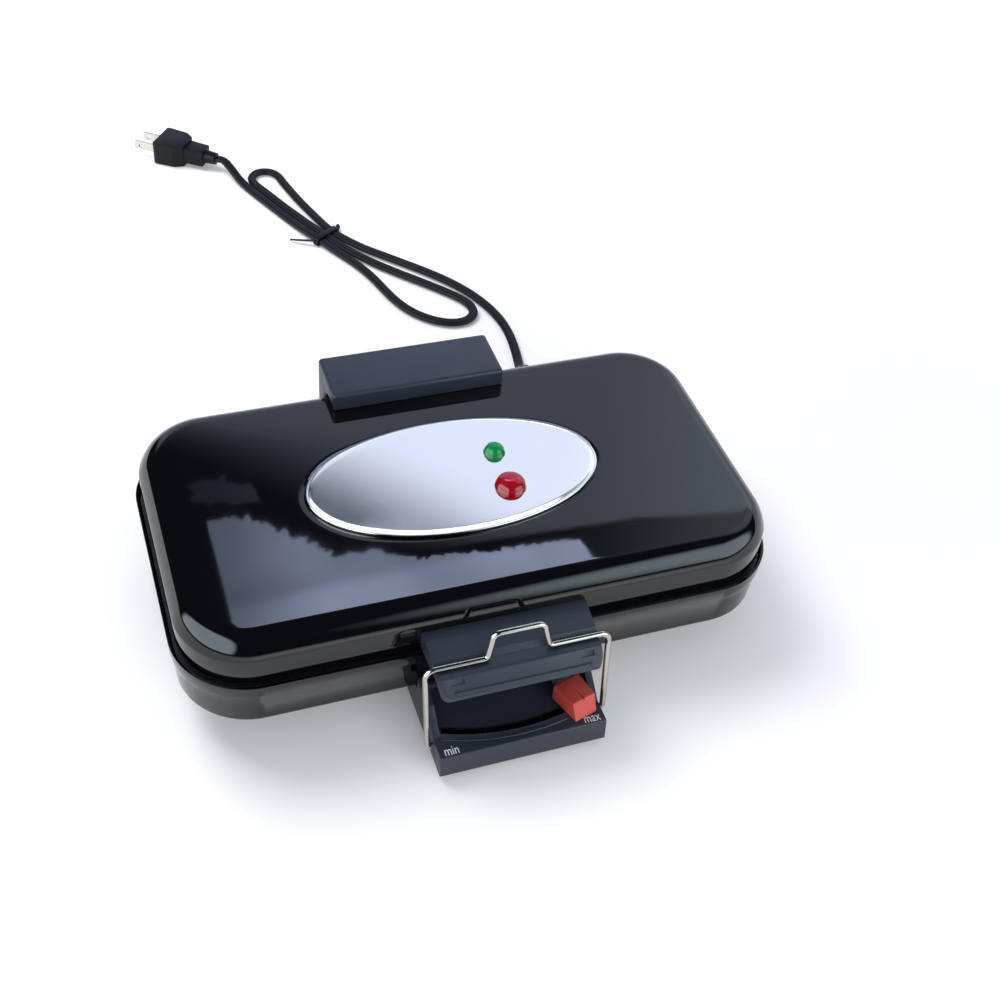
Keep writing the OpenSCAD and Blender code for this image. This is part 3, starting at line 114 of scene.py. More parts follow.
@dataclass(frozen=True)
class Finish:
    """A surface with a fine grain, patches of tone and an uneven gloss.

    The grain is a bump whose cells have a real size, and the patches are what handling and moulding leave.
    """

    name: str
    colour: str
    roughness: float
    metallic: float = 0.0
    grain: float = 0.5
    grain_depth: float = 0.01
    patch: float = 25.0
    patch_tint: float = 0.12
    gloss_spread: float = 0.05
    stretch: tuple[float, float, float] = (1.0, 1.0, 1.0)
    ior: float = 1.5
    coat: float = 0.0
    transmission: float = 0.0
    specular: float = 0.5

    def material(self) -> bpy.types.Material:
        """Builds the finish once and returns it."""
        found = bpy.data.materials.get(self.name)
        if found:
            return found
        made = bpy.data.materials.new(self.name)
        made.use_nodes = True
        tree = made.node_tree
        shader = tree.nodes["Principled BSDF"]
        place = add_node(tree, "ShaderNodeTexCoord").outputs["Object"]
        grain_place = add_node(tree, "ShaderNodeMapping", {"Vector": place, "Scale": self.stretch}).outputs[0]
        grain = add_node(tree, "ShaderNodeTexNoise", {"Vector": grain_place, "Scale": 1 / (self.grain * MM), "Detail": 3.0})
        patch = add_node(tree, "ShaderNodeTexNoise", {"Vector": place, "Scale": 1 / (self.patch * MM), "Detail": 4.0})
        self.colour_nodes(tree, shader, grain.outputs["Fac"], patch.outputs["Fac"])
        gloss = add_node(
            tree,
            "ShaderNodeMapRange",
            {
                "Value": patch.outputs["Fac"],
                "From Min": 0.3,
                "From Max": 0.7,
                "To Min": max(self.roughness - self.gloss_spread, 0.02),
                "To Max": self.roughness + self.gloss_spread,
            },
        )
        bump = add_node(
            tree, "ShaderNodeBump", {"Height": grain.outputs["Fac"], "Distance": self.grain_depth * MM, "Strength": 1.0}
        )
        tree.links.new(gloss.outputs[0], shader.inputs["Roughness"])
        tree.links.new(bump.outputs[0], shader.inputs["Normal"])
        shader.inputs["Metallic"].default_value = self.metallic
        shader.inputs["IOR"].default_value = self.ior
        shader.inputs["Coat Weight"].default_value = self.coat
        shader.inputs["Coat Roughness"].default_value = 0.04
        shader.inputs["Transmission Weight"].default_value = self.transmission
        shader.inputs["Specular IOR Level"].default_value = self.specular
        return made

    def colour_nodes(
        self,
        tree: bpy.types.NodeTree,
        shader: bpy.types.Node,
        grain: bpy.types.NodeSocket,
        patch: bpy.types.NodeSocket,
    ) -> None:
        """Mixes the colour with a lighter and a darker tone of it.

        Args:
            tree: The material's tree.
            shader: The surface shader.
            grain: The fine noise.
            patch: The coarse noise.
        """
        base = linear(self.colour)
        low = tuple(c * (1 - self.patch_tint) for c in base[:3]) + (1.0,)
        high = tuple(min(c * (1 + self.patch_tint), 1.0) for c in base[:3]) + (1.0,)
        both = add_node(tree, "ShaderNodeMath", {0: grain, 1: patch}, operation="MULTIPLY_ADD")
        both.inputs[2].default_value = 0.25
        mixed = add_node(tree, "ShaderNodeMix", {0: both.outputs[0], 6: low, 7: high}, data_type="RGBA")
        tree.links.new(mixed.outputs[2], shader.inputs["Base Color"])


# Stove enamel over pressed steel: near black, wet gloss, a faint orange peel that frays reflections.
ENAMEL = Finish("black_stove_enamel", "#08090c", 0.03, grain=2.6, grain_depth=0.0015, gloss_spread=0.01, patch=60.0)
# Moulded phenolic: dark slate, matt, with a fine spark-eroded texture.
PHENOLIC = Finish("slate_phenolic", "#262b37", 0.46, grain=0.45, grain_depth=0.03, patch=18.0, patch_tint=0.14)
# Stainless sheet, bright rolled, with a fine grit brushing that runs along the badge.
BRUSHED = Finish(
    "brushed_stainless", "#f3f0ea", 0.075, 1.0, grain=0.5, grain_depth=0.001, patch=45.0, patch_tint=0.02,
    gloss_spread=0.015, stretch=(0.12, 1.0, 1.0),
)
# Nickelled spring wire: warm pale grey, a soft mirror with dark edges.
NICKEL_WIRE = Finish("nickelled_wire", "#bab6ae", 0.17, 1.0, grain=1.2, grain_depth=0.004, gloss_spread=0.03)
# Coral ABS: satin, tinted through.
CORAL = Finish("coral_abs", "#c24a42", 0.34, grain=0.5, grain_depth=0.02, patch=3.0, patch_tint=0.2)
# PVC: soft black with a slight sheen.
PVC = Finish("black_pvc", "#0a0b0f", 0.46, grain=0.6, grain_depth=0.012, patch=14.0, patch_tint=0.25, specular=0.22)
# Moulded rubber: dull black.
RUBBER = Finish("black_rubber", "#15161a", 0.6, grain=0.4, grain_depth=0.02)
# Cast aluminium under a non-stick coat: dark grey, speckled.
COATED_CAST = Finish("coated_cast_aluminium", "#3b3c40", 0.42, 0.35, grain=0.7, grain_depth=0.02, patch=3.0, patch_tint=0.2)
# Incoloy tube: heat stained brown grey.
INCOLOY = Finish("stained_incoloy", "#6b5f55", 0.4, 1.0, grain=0.8, grain_depth=0.01, patch=12.0, patch_tint=0.35)
# Aluminised sheet: bright, with a spangle.
REFLECTOR = Finish("aluminised_sheet", "#c9ccd0", 0.3, 1.0, grain=2.0, grain_depth=0.005, patch=6.0, patch_tint=0.12)
# Zinc-plated steel: cool grey screws and spacers.
ZINC = Finish("zinc_plated_steel", "#b9bdc4", 0.3, 1.0, grain=0.6, grain_depth=0.006, patch=4.0, patch_tint=0.12)
# Steatite: off-white fired ceramic.
STEATITE = Finish("steatite_ceramic", "#ded9cc", 0.55, grain=0.5, grain_depth=0.02, patch=6.0, patch_tint=0.06)
# Brass nut: turned, yellow.
BRASS = Finish("plain_brass", "#c9b27a", 0.28, 1.0, grain=0.5, grain_depth=0.006, patch=5.0, patch_tint=0.12)
# Nickelled brass blades: pale and warm, scuffed along their length by sockets.
BLADE_METAL = Finish(
    "nickelled_brass", "#d6d1c6", 0.24, 1.0, grain=0.4, grain_depth=0.004, patch=4.0, patch_tint=0.08, stretch=(1.0, 0.2, 1.0)
)
# Dyed polycarbonate: clear enough for light to sit inside the dome.
RED_LENS = Finish(
    "red_polycarbonate", "#a80a1c", 0.09, grain=1.5, grain_depth=0.01, patch=3.0, patch_tint=0.35, gloss_spread=0.02,
    transmission=0.2, ior=1.5,
)
GREEN_LENS = Finish(
    "green_polycarbonate", "#048a49", 0.12, grain=1.2, grain_depth=0.02, patch=1.6, patch_tint=0.5, gloss_spread=0.03,
    transmission=0.12, ior=1.45,
)
# Neon lamp glass: clear and faintly warm.
LAMP_GLASS = Finish("neon_lamp_glass", "#f0d2b4", 0.05, grain=2.0, grain_depth=0.002, transmission=0.8, ior=1.5)
# Pad-printed ink: thin matt white.
WHITE_INK = Finish("white_ink", "#f2f4f8", 0.6, grain=0.3, grain_depth=0.004, patch=2.0, patch_tint=0.05)


def new_object(name: str, mesh: bpy.types.Mesh, finish: Finish, smooth_angle: float = 35.0) -> bpy.types.Object:
    """Makes an object of a mesh, shaded smooth but for its sharp edges.

    Args:
        name: The piece's name.
        mesh: Its mesh, in place.
        finish: Its finish.
        smooth_angle: Edges sharper than this many degrees stay sharp.

    Returns:
        The linked object.
    """
    mesh.materials.clear()
    mesh.materials.append(finish.material())
    mesh.polygons.foreach_set("use_smooth", [True] * len(mesh.polygons))
    mesh.set_sharp_from_angle(angle=math.radians(smooth_angle))
    made = bpy.data.objects.new(name, mesh)
    bpy.context.scene.collection.objects.link(made)
    return made


def grid_mesh(name: str, rings: list[list[Vector]], closed_ends: bool = True) -> bpy.types.Mesh:
    """Skins rings of points that all have the same count.

    Args:
        name: The mesh's name.
        rings: Rings of points in millimetres, anticlockwise seen from where the rings go.
        closed_ends: Whether the first and last rings are filled.

    Returns:
        The mesh, in metres, with faces outwards.
    """
    count = len(rings[0])
    points = [p * MM for ring in rings for p in ring]
    faces: list[list[int]] = []
    for i in range(len(rings) - 1):
        for k in range(count):
            n = (k + 1) % count
            faces.append([i * count + k, i * count + n, (i + 1) * count + n, (i + 1) * count + k])
    if closed_ends:
        last = (len(rings) - 1) * count
        faces.append(list(range(count - 1, -1, -1)))
        faces.append([last + k for k in range(count)])
    mesh = bpy.data.meshes.new(name)
    mesh.from_pydata(points, [], faces)
    mesh.update()
    return mesh


def baked(source: bpy.types.Object, name: str, finish: Finish, smooth_angle: float = 35.0) -> bpy.types.Object:
    """Turns an object and its modifiers to a plain piece, and removes the source.

    Args:
        source: The object with its modifiers.
        name: The new piece's name.
        finish: The new piece's finish.
        smooth_angle: Edges sharper than this many degrees stay sharp.

    Returns:
        The plain piece.
    """
    bpy.context.view_layer.update()
    graph = bpy.context.evaluated_depsgraph_get()
    mesh = bpy.data.meshes.new_from_object(source.evaluated_get(graph), depsgraph=graph)
    mesh.transform(source.matrix_world)
    bpy.data.objects.remove(source)
    mesh.name = name
    return new_object(name, mesh, finish, smooth_angle)


def rounded_copy(
    node: str, name: str, finish: Finish, radius: float, segments: int = 2, end: float | None = None
) -> bpy.types.Object:
    """Copies a frame node, merges it and rounds its sharp edges.

    Args:
        node: The frame's node.
        name: The piece's name.
        finish: The piece's finish.
        radius: Edge radius in millimetres, or 0 for smooth shading only.
        segments: Faces across an edge's rounding.
        end: Half the piece's width, if only the edges of its two end faces are rounded.

    Returns:
        The piece, which replaces the node.
    """
    work = bmesh.new()
    work.from_mesh(frame["nodes"][node].data)
    bmesh.ops.remove_doubles(work, verts=work.verts, dist=0.002 * MM)
    bmesh.ops.dissolve_limit(work, angle_limit=math.radians(0.6), verts=work.verts, edges=work.edges)
    if end is not None:
        weights = work.edges.layers.float.new("bevel_weight_edge")
        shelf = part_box(node)[0].z + HINGE_SHELF * MM
        for edge in work.edges:
            at_end = all(abs(abs(v.co.x) - end * MM) < 0.01 * MM for v in edge.verts)
            high = max(v.co.z for v in edge.verts) > shelf
            edge[weights] = float(at_end and high and edge.calc_face_angle(0.0) > math.radians(38))
    mesh = bpy.data.meshes.new(name)
    work.to_mesh(mesh)
    work.free()
    source = bpy.data.objects.new(name + "_source", mesh)
    bpy.context.scene.collection.objects.link(source)
    if radius:
        bevel = source.modifiers.new("edges", "BEVEL")
        bevel.width = radius * MM
        bevel.segments = segments
        bevel.limit_method = "ANGLE" if end is None else "WEIGHT"
        bevel.angle_limit = math.radians(38)
        bevel.use_clamp_overlap = end is None
        bevel.harden_normals = False
    weight = source.modifiers.new("weights", "WEIGHTED_NORMAL")
    weight.keep_sharp = True
    piece = baked(source, name, finish, 38.0)
    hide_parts(node)
    return piece


def settle(piece: bpy.types.Object, body: Body, slot: str, *nodes: str) -> bpy.types.Object:
    """Puts a finished piece on its body and hides the frame nodes that it replaces.

    Args:
        piece: The piece, in place.
        body: The body that it moves with.
        slot: The record's material slot; not used.
        nodes: Frame nodes that it replaces.

    Returns:
        The same piece.
    """
    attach(piece, body.value)
    if nodes:
        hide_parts(*nodes)
    LOG.info("%s rides on %s", piece.name, body.value)
    return piece


def round_rect(width: float, depth: float, radius: float, corner_steps: int = 24, side_steps: int = 12) -> list[Vector]:
    """Points of a rounded rectangle about the origin, anticlockwise, with the same count for any size."""
    points: list[Vector] = []
    for corner, (sx, sy) in enumerate(((1, 1), (-1, 1), (-1, -1), (1, -1))):
        middle = Vector((sx * (width / 2 - radius), sy * (depth / 2 - radius), 0))
        start = corner * math.pi / 2
        arc = [
            middle + radius * Vector((math.cos(start + a), math.sin(start + a), 0))
            for a in (math.pi / 2 * k / corner_steps for k in range(corner_steps + 1))
        ]
        points += arc
        nx, ny = ((-1, 1), (-1, -1), (1, -1), (1, 1))[corner]
        following = Vector((nx * (width / 2 - radius), ny * (depth / 2 - radius), 0))
        end = following + radius * Vector((math.cos(start + math.pi / 2), math.sin(start + math.pi / 2), 0))
        points += [arc[-1].lerp(end, k / side_steps) for k in range(1, side_steps)]
    return points


@dataclass(frozen=True)
class Glow:
    """A round patch of light on the studio's far walls, seen in mirrors only.

    Its azimuth counts clockwise from behind the iron, and all four angles are in degrees.
    """

    azimuth: float
    elevation: float
    inner: float
    outer: float
    strength: float

    def way(self) -> tuple[float, float, float]:
        """The direction of its middle."""
        a, e = math.radians(self.azimuth), math.radians(self.elevation)
        return math.sin(a) * math.cos(e), math.cos(a) * math.cos(e), math.sin(e)


@dataclass
class Studio:
    """Floor, lights and the camera at the photograph's angle."""

    position: tuple[float, float, float] = (-178.8, -463.9, 563.5)
    azimuth: float = -23.2885
    elevation: float = 44.5868
    roll: float = 6.3663
    focal_pixels: float = 1400.0
    picture: float = 1000.0
    floor_size: float = 9000.0
    floor_lift: float = 0.14
    far_lift: float = 0.55
    sky: float = 0.45
    wall: float = 1.15
    dim: float = 0.03
    panel_height: float = 1076.0
    panel_strength: float = 4.2
    glows: tuple[Glow, ...] = (
        Glow(-106.0, 15.0, 38.0, 47.0, 4.4),
        Glow(133.0, 20.0, 20.0, 36.0, 3.4),
        Glow(56.0, 41.0, 7.0, 22.0, 1.0),
    )

    def camera(self) -> None:
        """Makes the camera, turned by azimuth, elevation and roll."""
        data = bpy.data.cameras.new("camera")
        data.sensor_width = 36.0
        data.lens = data.sensor_width * self.focal_pixels / self.picture
        data.clip_start = 0.01
        made = bpy.data.objects.new("camera", data)
        bpy.context.scene.collection.objects.link(made)
        a, e, r = (math.radians(v) for v in (self.azimuth, self.elevation, self.roll))
        back = Vector((math.sin(a) * math.cos(e), -math.cos(a) * math.cos(e), math.sin(e)))
        right = Vector((math.cos(a), math.sin(a), 0))
        up = back.cross(right)
        across = right * math.cos(r) + up * math.sin(r)
        rise = up * math.cos(r) - right * math.sin(r)
        turn = Matrix((across, rise, back)).transposed().to_4x4()
        made.matrix_world = Matrix.Translation(Vector(self.position) * MM) @ turn
        bpy.context.scene.camera = made

    def background_rays(self, tree: bpy.types.NodeTree) -> bpy.types.NodeSocket:
        """Gives 1 for the camera's rays and for those that metal and glass send on."""
        ray = add_node(tree, "ShaderNodeLightPath").outputs
        seen = add_node(tree, "ShaderNodeMath", {0: ray["Is Camera Ray"], 1: ray["Is Glossy Ray"]}, operation="MAXIMUM")
        both = add_node(tree, "ShaderNodeMath", {0: seen.outputs[0], 1: ray["Is Transmission Ray"]}, operation="MAXIMUM")
        return both.outputs[0]

    def floor(self) -> None:
        """Makes a white floor that keeps the iron's shadow and is lifted to plain white away from it."""
        half = self.floor_size / 2
        corners = [Vector((x * half, y * half, -0.3)) for x, y in ((-1, -1), (1, -1), (1, 1), (-1, 1))]
        mesh = bpy.data.meshes.new("floor")
        mesh.from_pydata([c * MM for c in corners], [], [[0, 1, 2, 3]])
        made = bpy.data.objects.new("floor", mesh)
        bpy.context.scene.collection.objects.link(made)
        material = bpy.data.materials.new("white_sweep")
        material.use_nodes = True
        tree = material.node_tree
        tree.nodes.clear()
        place = add_node(tree, "ShaderNodeTexCoord").outputs["Object"]
        away = add_node(tree, "ShaderNodeVectorMath", {0: place}, operation="LENGTH").outputs["Value"]
        far = self.ramp(tree, away, 0.25, 1.1, self.far_lift)
        level = add_node(tree, "ShaderNodeMath", {0: far, 1: self.floor_lift}, operation="ADD").outputs[0]
        lift = add_node(tree, "ShaderNodeMath", {0: self.background_rays(tree), 1: level}, operation="MULTIPLY")
        matt = add_node(tree, "ShaderNodeBsdfDiffuse", {"Color": linear("#f3f4f6")})
        glow = add_node(tree, "ShaderNodeEmission", {"Color": linear("#fbfcff"), "Strength": lift.outputs[0]})
        total = add_node(tree, "ShaderNodeAddShader", {0: matt.outputs[0], 1: glow.outputs[0]})
        add_node(tree, "ShaderNodeOutputMaterial", {"Surface": total.outputs[0]})
        mesh.materials.append(material)

    def ramp(
        self, tree: bpy.types.NodeTree, value: bpy.types.NodeSocket, start: float, end: float, top: float = 1.0
    ) -> bpy.types.NodeSocket:
        """Rises smoothly from 0 at one value to a top at another.

        Args:
            tree: The tree that gets the node.
            value: What it follows.
            start: Where it is 0.
            end: Where it reaches its top.
            top: The top.

        Returns:
            The result.
        """
        values = {"Value": value, "From Min": start, "From Max": end, "To Min": 0.0, "To Max": top}
        return add_node(tree, "ShaderNodeMapRange", values, interpolation_type="SMOOTHSTEP").outputs[0]

    def mirrored_walls(self, tree: bpy.types.NodeTree) -> tuple[bpy.types.NodeSocket, bpy.types.NodeSocket]:
        """How bright mirrors see the studio's walls, and the round softboxes before them."""
        way = add_node(tree, "ShaderNodeTexCoord").outputs["Object"]
        parts = add_node(tree, "ShaderNodeSeparateXYZ", {0: way}).outputs

        def blend(kind: str, a: object, b: object, c: object = 0.0) -> bpy.types.NodeSocket:
            """One step of arithmetic."""
            return add_node(tree, "ShaderNodeMath", {0: a, 1: b, 2: c}, operation=kind).outputs[0]

        leaning = blend("MULTIPLY_ADD", parts["Z"], -2.5, parts["X"])
        left_end = blend("MINIMUM", blend("ADD", leaning, 1.65), blend("ADD", parts["X"], 0.3))
        lit = self.ramp(tree, left_end, 0.01, 0.18, self.wall)
        rise = blend("MULTIPLY_ADD", parts["Y"], 1.133, blend("MULTIPLY", parts["X"], 0.0735))
        under = self.ramp(tree, blend("SUBTRACT", rise, parts["Z"]), 0.0, 0.012)
        total: object = 0.0
        for glow in self.glows:
            facing = add_node(tree, "ShaderNodeVectorMath", {0: way, 1: glow.way()}, operation="DOT_PRODUCT").outputs["Value"]
            edges = (math.cos(math.radians(v)) for v in (glow.outer, glow.inner))
            total = blend("ADD", total, self.ramp(tree, facing, *edges, glow.strength))
        return blend("MULTIPLY_ADD", lit, under, self.dim), blend("MULTIPLY", total, self.ramp(tree, parts["Z"], 0.03, 0.08))

    def world(self) -> None:
        """White for the camera and plain soft light; mirrors see the studio's walls."""
        world = bpy.data.worlds.new("studio")
        bpy.context.scene.world = world
        world.use_nodes = True
        tree = world.node_tree
        tree.nodes.clear()
        ray = add_node(tree, "ShaderNodeLightPath").outputs
        lamp = add_node(tree, "ShaderNodeBackground", {"Color": linear("#f6f8ff"), "Strength": self.sky})
        seen = add_node(tree, "ShaderNodeBackground", {"Color": (1, 1, 1, 1), "Strength": 1.0})
        wall, softboxes = self.mirrored_walls(tree)
        cool = add_node(tree, "ShaderNodeBackground", {"Color": linear("#d9e4ff"), "Strength": wall})
        plain = add_node(tree, "ShaderNodeBackground", {"Color": linear("#e4f8ff"), "Strength": softboxes})
        walls = add_node(tree, "ShaderNodeAddShader", {0: cool.outputs[0], 1: plain.outputs[0]})
        first = add_node(tree, "ShaderNodeMixShader", {0: ray["Is Glossy Ray"], 1: lamp.outputs[0], 2: walls.outputs[0]})
        last = add_node(tree, "ShaderNodeMixShader", {0: ray["Is Camera Ray"], 1: first.outputs[0], 2: seen.outputs[0]})
        add_node(tree, "ShaderNodeOutputWorld", {"Surface": last.outputs[0]})

    def ragged(self, anchors: list[tuple[float, float]], step: float, depth: float) -> list[tuple[float, float]]:
        """Breaks a line into short steps of uneven depth, as a frayed cloth edge.

        Args:
            anchors: The line's points.
            step: About how long a step is.
            depth: How far a step may stand off the line.

        Returns:
            The frayed line.
        """
        draw = random.Random(11)
        points = [anchors[0]]
        for (ax, ay), (bx, by) in zip(anchors, anchors[1:]):
            count = max(int(math.dist((ax, ay), (bx, by)) / step), 1)
            for k in range(1, count + 1):
                t = k / count
                points.append((ax + (bx - ax) * t + draw.uniform(-step, step), ay + (by - ay) * t + draw.uniform(-depth, depth)))
        return points

    def panel(self) -> None:
        """Hangs the cloth panel whose frayed far edge shows in the lid, and a scrap of it behind."""
        far = self.ragged(
            [(-24, 986), (22, 984), (55, 975), (79, 941), (116, 917), (148, 876), (211, 864), (268, 817), (319, 811),
             (398, 797), (505, 789)], 6.0, 7.0,
        )
        self.card("panel", [*far, (512, 690), (-24, 690)], self.panel_strength, "#ccdbff")
        scrap = self.ragged([(-40, 1030), (-34, 1066), (14, 1074), (62, 1046), (66, 1012), (10, 1016), (-40, 1030)], 9.0, 6.0)
        self.card("panel_scrap", scrap, 0.6, "#d3dfff")

    def card(self, name: str, outline: list[tuple[float, float]], strength: float, colour: str) -> None:
        """Makes a glowing card over the iron that the camera doesn't see, brighter near its right and near edges.

        Args:
            name: The card's name.
            outline: Its corners in millimetres.
            strength: How bright it is.
            colour: Its colour.
        """
        mesh = bpy.data.meshes.new(name)
        mesh.from_pydata([Vector((x, y, self.panel_height)) * MM for x, y in outline], [], [list(range(len(outline)))])
        material = bpy.data.materials.new(name)
        material.use_nodes = True
        tree = material.node_tree
        tree.nodes.clear()
        place = add_node(tree, "ShaderNodeTexCoord").outputs["Object"]
        parts = add_node(tree, "ShaderNodeSeparateXYZ", {0: place}).outputs
        fold = add_node(tree, "ShaderNodeTexNoise", {"Vector": place, "Scale": 5.0, "Detail": 2.0}).outputs["Fac"]
        sideways = self.ramp(tree, parts["X"], -0.03, 0.13, 0.6)
        nearer = self.ramp(tree, parts["Y"], 0.82, 0.78, 0.35)
        share = add_node(tree, "ShaderNodeMath", {0: sideways, 1: 0.53}, operation="ADD").outputs[0]
        level = add_node(tree, "ShaderNodeMath", {0: share, 1: nearer, 2: share}, operation="MULTIPLY_ADD").outputs[0]
        uneven = add_node(tree, "ShaderNodeMath", {0: fold, 1: 0.5}, operation="ADD").outputs[0]
        level = add_node(tree, "ShaderNodeMath", {0: level, 1: uneven}, operation="MULTIPLY").outputs[0]
        level = add_node(tree, "ShaderNodeMath", {0: level, 1: strength}, operation="MULTIPLY").outputs[0]
        glow = add_node(tree, "ShaderNodeEmission", {"Color": linear(colour), "Strength": level})
        add_node(tree, "ShaderNodeOutputMaterial", {"Surface": glow.outputs[0]})
        mesh.materials.append(material)
        made = bpy.data.objects.new(name, mesh)
        made.visible_camera = False
        made.visible_shadow = False
        bpy.context.scene.collection.objects.link(made)

    def lamp(self, name: str, place: tuple[float, float, float], size: tuple[float, float], power: float) -> None:
        """Makes a soft lamp that looks at the iron and isn't seen in it.

        Args:
            name: The lamp's name.
            place: Its middle in millimetres.
            size: Its width and height in millimetres.
            power: Its power in watts.
        """
        data = bpy.data.lights.new(name, "AREA")
        data.shape = "RECTANGLE"
        data.size, data.size_y = (s * MM for s in size)
        data.energy = power
        made = bpy.data.objects.new(name, data)
        bpy.context.scene.collection.objects.link(made)
        middle = Vector(place) * MM
        made.location = middle
        made.rotation_mode = "QUATERNION"
        made.rotation_quaternion = (-middle).to_track_quat("-Z", "Y")
        made.visible_glossy = False

    def build(self) -> None:
        """Makes the whole studio."""
        self.camera()
        self.floor()
        self.world()
        self.panel()
        self.lamp("rear_softbox", (-480, 640, 1150), (700, 700), 12.2)
        self.lamp("front_softbox", (150, -900, 330), (700, 300), 4.4)
        bpy.context.scene.view_settings.view_transform = "Standard"


def sweep_tree() -> bpy.types.NodeTree:
    """Builds the tree that bends a line by its points' own radii and sweeps a section along it.

    The inputs are the line, the section's object and the finish. The section's first axis stays level.
    """
    found = bpy.data.node_groups.get("swept_section")
    if found:
        return found
    tree = bpy.data.node_groups.new("swept_section", "GeometryNodeTree")
    face = tree.interface
    face.new_socket(name="Line", in_out="INPUT", socket_type="NodeSocketGeometry")
    face.new_socket(name="Section", in_out="INPUT", socket_type="NodeSocketObject")
    face.new_socket(name="Finish", in_out="INPUT", socket_type="NodeSocketMaterial")
    face.new_socket(name="Swept", in_out="OUTPUT", socket_type="NodeSocketGeometry")
    start = add_node(tree, "NodeGroupInput").outputs
    bend = add_node(tree, "GeometryNodeInputNamedAttribute", {"Name": "bend"}, data_type="FLOAT").outputs[0]
    line = add_node(tree, "GeometryNodeMeshToCurve", {0: start["Line"]})
    fillet = add_node(tree, "GeometryNodeFilletCurve", {"Curve": line.outputs[0], "Count": 10, "Radius": bend}, mode="POLY")
    level = add_node(tree, "GeometryNodeSetCurveNormal", {"Curve": fillet.outputs[0]}, mode="Z_UP")
    section = add_node(tree, "GeometryNodeObjectInfo", {"Object": start["Section"]}, transform_space="ORIGINAL")
    ring = add_node(tree, "GeometryNodeMeshToCurve", {0: section.outputs["Geometry"]})
    tube = add_node(
        tree, "GeometryNodeCurveToMesh", {"Curve": level.outputs[0], "Profile Curve": ring.outputs[0], "Fill Caps": True}
    )
    plain = add_node(tree, "GeometryNodeRealizeInstances", {0: tube.outputs[0]})
    dressed = add_node(tree, "GeometryNodeSetMaterial", {"Geometry": plain.outputs[0], "Material": start["Finish"]})
    add_node(tree, "NodeGroupOutput", {0: dressed.outputs[0]})
    return tree


def wire_object(name: str, points: list[Vector], closed: bool = False, bends: list[float] | None = None) -> bpy.types.Object:
    """Makes an object of edges through points.

    Args:
        name: Its name.
        points: The points in millimetres.
        closed: Whether the last point joins the first.
        bends: Each point's bend radius in millimetres.

    Returns:
        The linked object.
    """
    mesh = bpy.data.meshes.new(name)
    edges = [(i, i + 1) for i in range(len(points) - 1)] + ([(len(points) - 1, 0)] if closed else [])
    mesh.from_pydata([p * MM for p in points], edges, [])
    if bends:
        mesh.attributes.new("bend", "FLOAT", "POINT").data.foreach_set("value", [b * MM for b in bends])
    made = bpy.data.objects.new(name, mesh)
    bpy.context.scene.collection.objects.link(made)
    return made


def node_piece(source: bpy.types.Object, tree: bpy.types.NodeTree, inputs: dict, name: str, finish: Finish) -> bpy.types.Object:
    """Runs a Geometry Nodes tree on an object and keeps the plain result.

    Args:
        source: The object that the tree starts from, which is removed.
        tree: The tree.
        inputs: Values by the tree's input names.
        name: The piece's name.
        finish: The piece's finish.

    Returns:
        The plain piece.
    """
    sockets = {item.name: item.identifier for item in tree.interface.items_tree if item.in_out == "INPUT"}
    modifier = source.modifiers.new(tree.name, "NODES")
    modifier.node_group = tree
    for key, value in {**inputs, "Finish": finish.material()}.items():
        modifier[sockets[key]] = value
    return baked(source, name, finish, 60.0)


def swept(name: str, points: list[Vector], section: list[Vector], finish: Finish, bends: list[float] | None = None) -> bpy.types.Object:
    """Sweeps a section along a line with Geometry Nodes.

    Args:
        name: The piece's name.
        points: The line in millimetres.
        section: The section's outline in millimetres, flat on the ground plane.
        finish: The piece's finish.
        bends: Each point's bend radius in millimetres.

    Returns:
        The plain piece.
    """
    outline = wire_object(name + "_section", section, closed=True)
    piece = node_piece(wire_object(name + "_line", points, bends=bends), sweep_tree(), {"Section": outline}, name, finish)
    bpy.data.objects.remove(outline)
    return piece


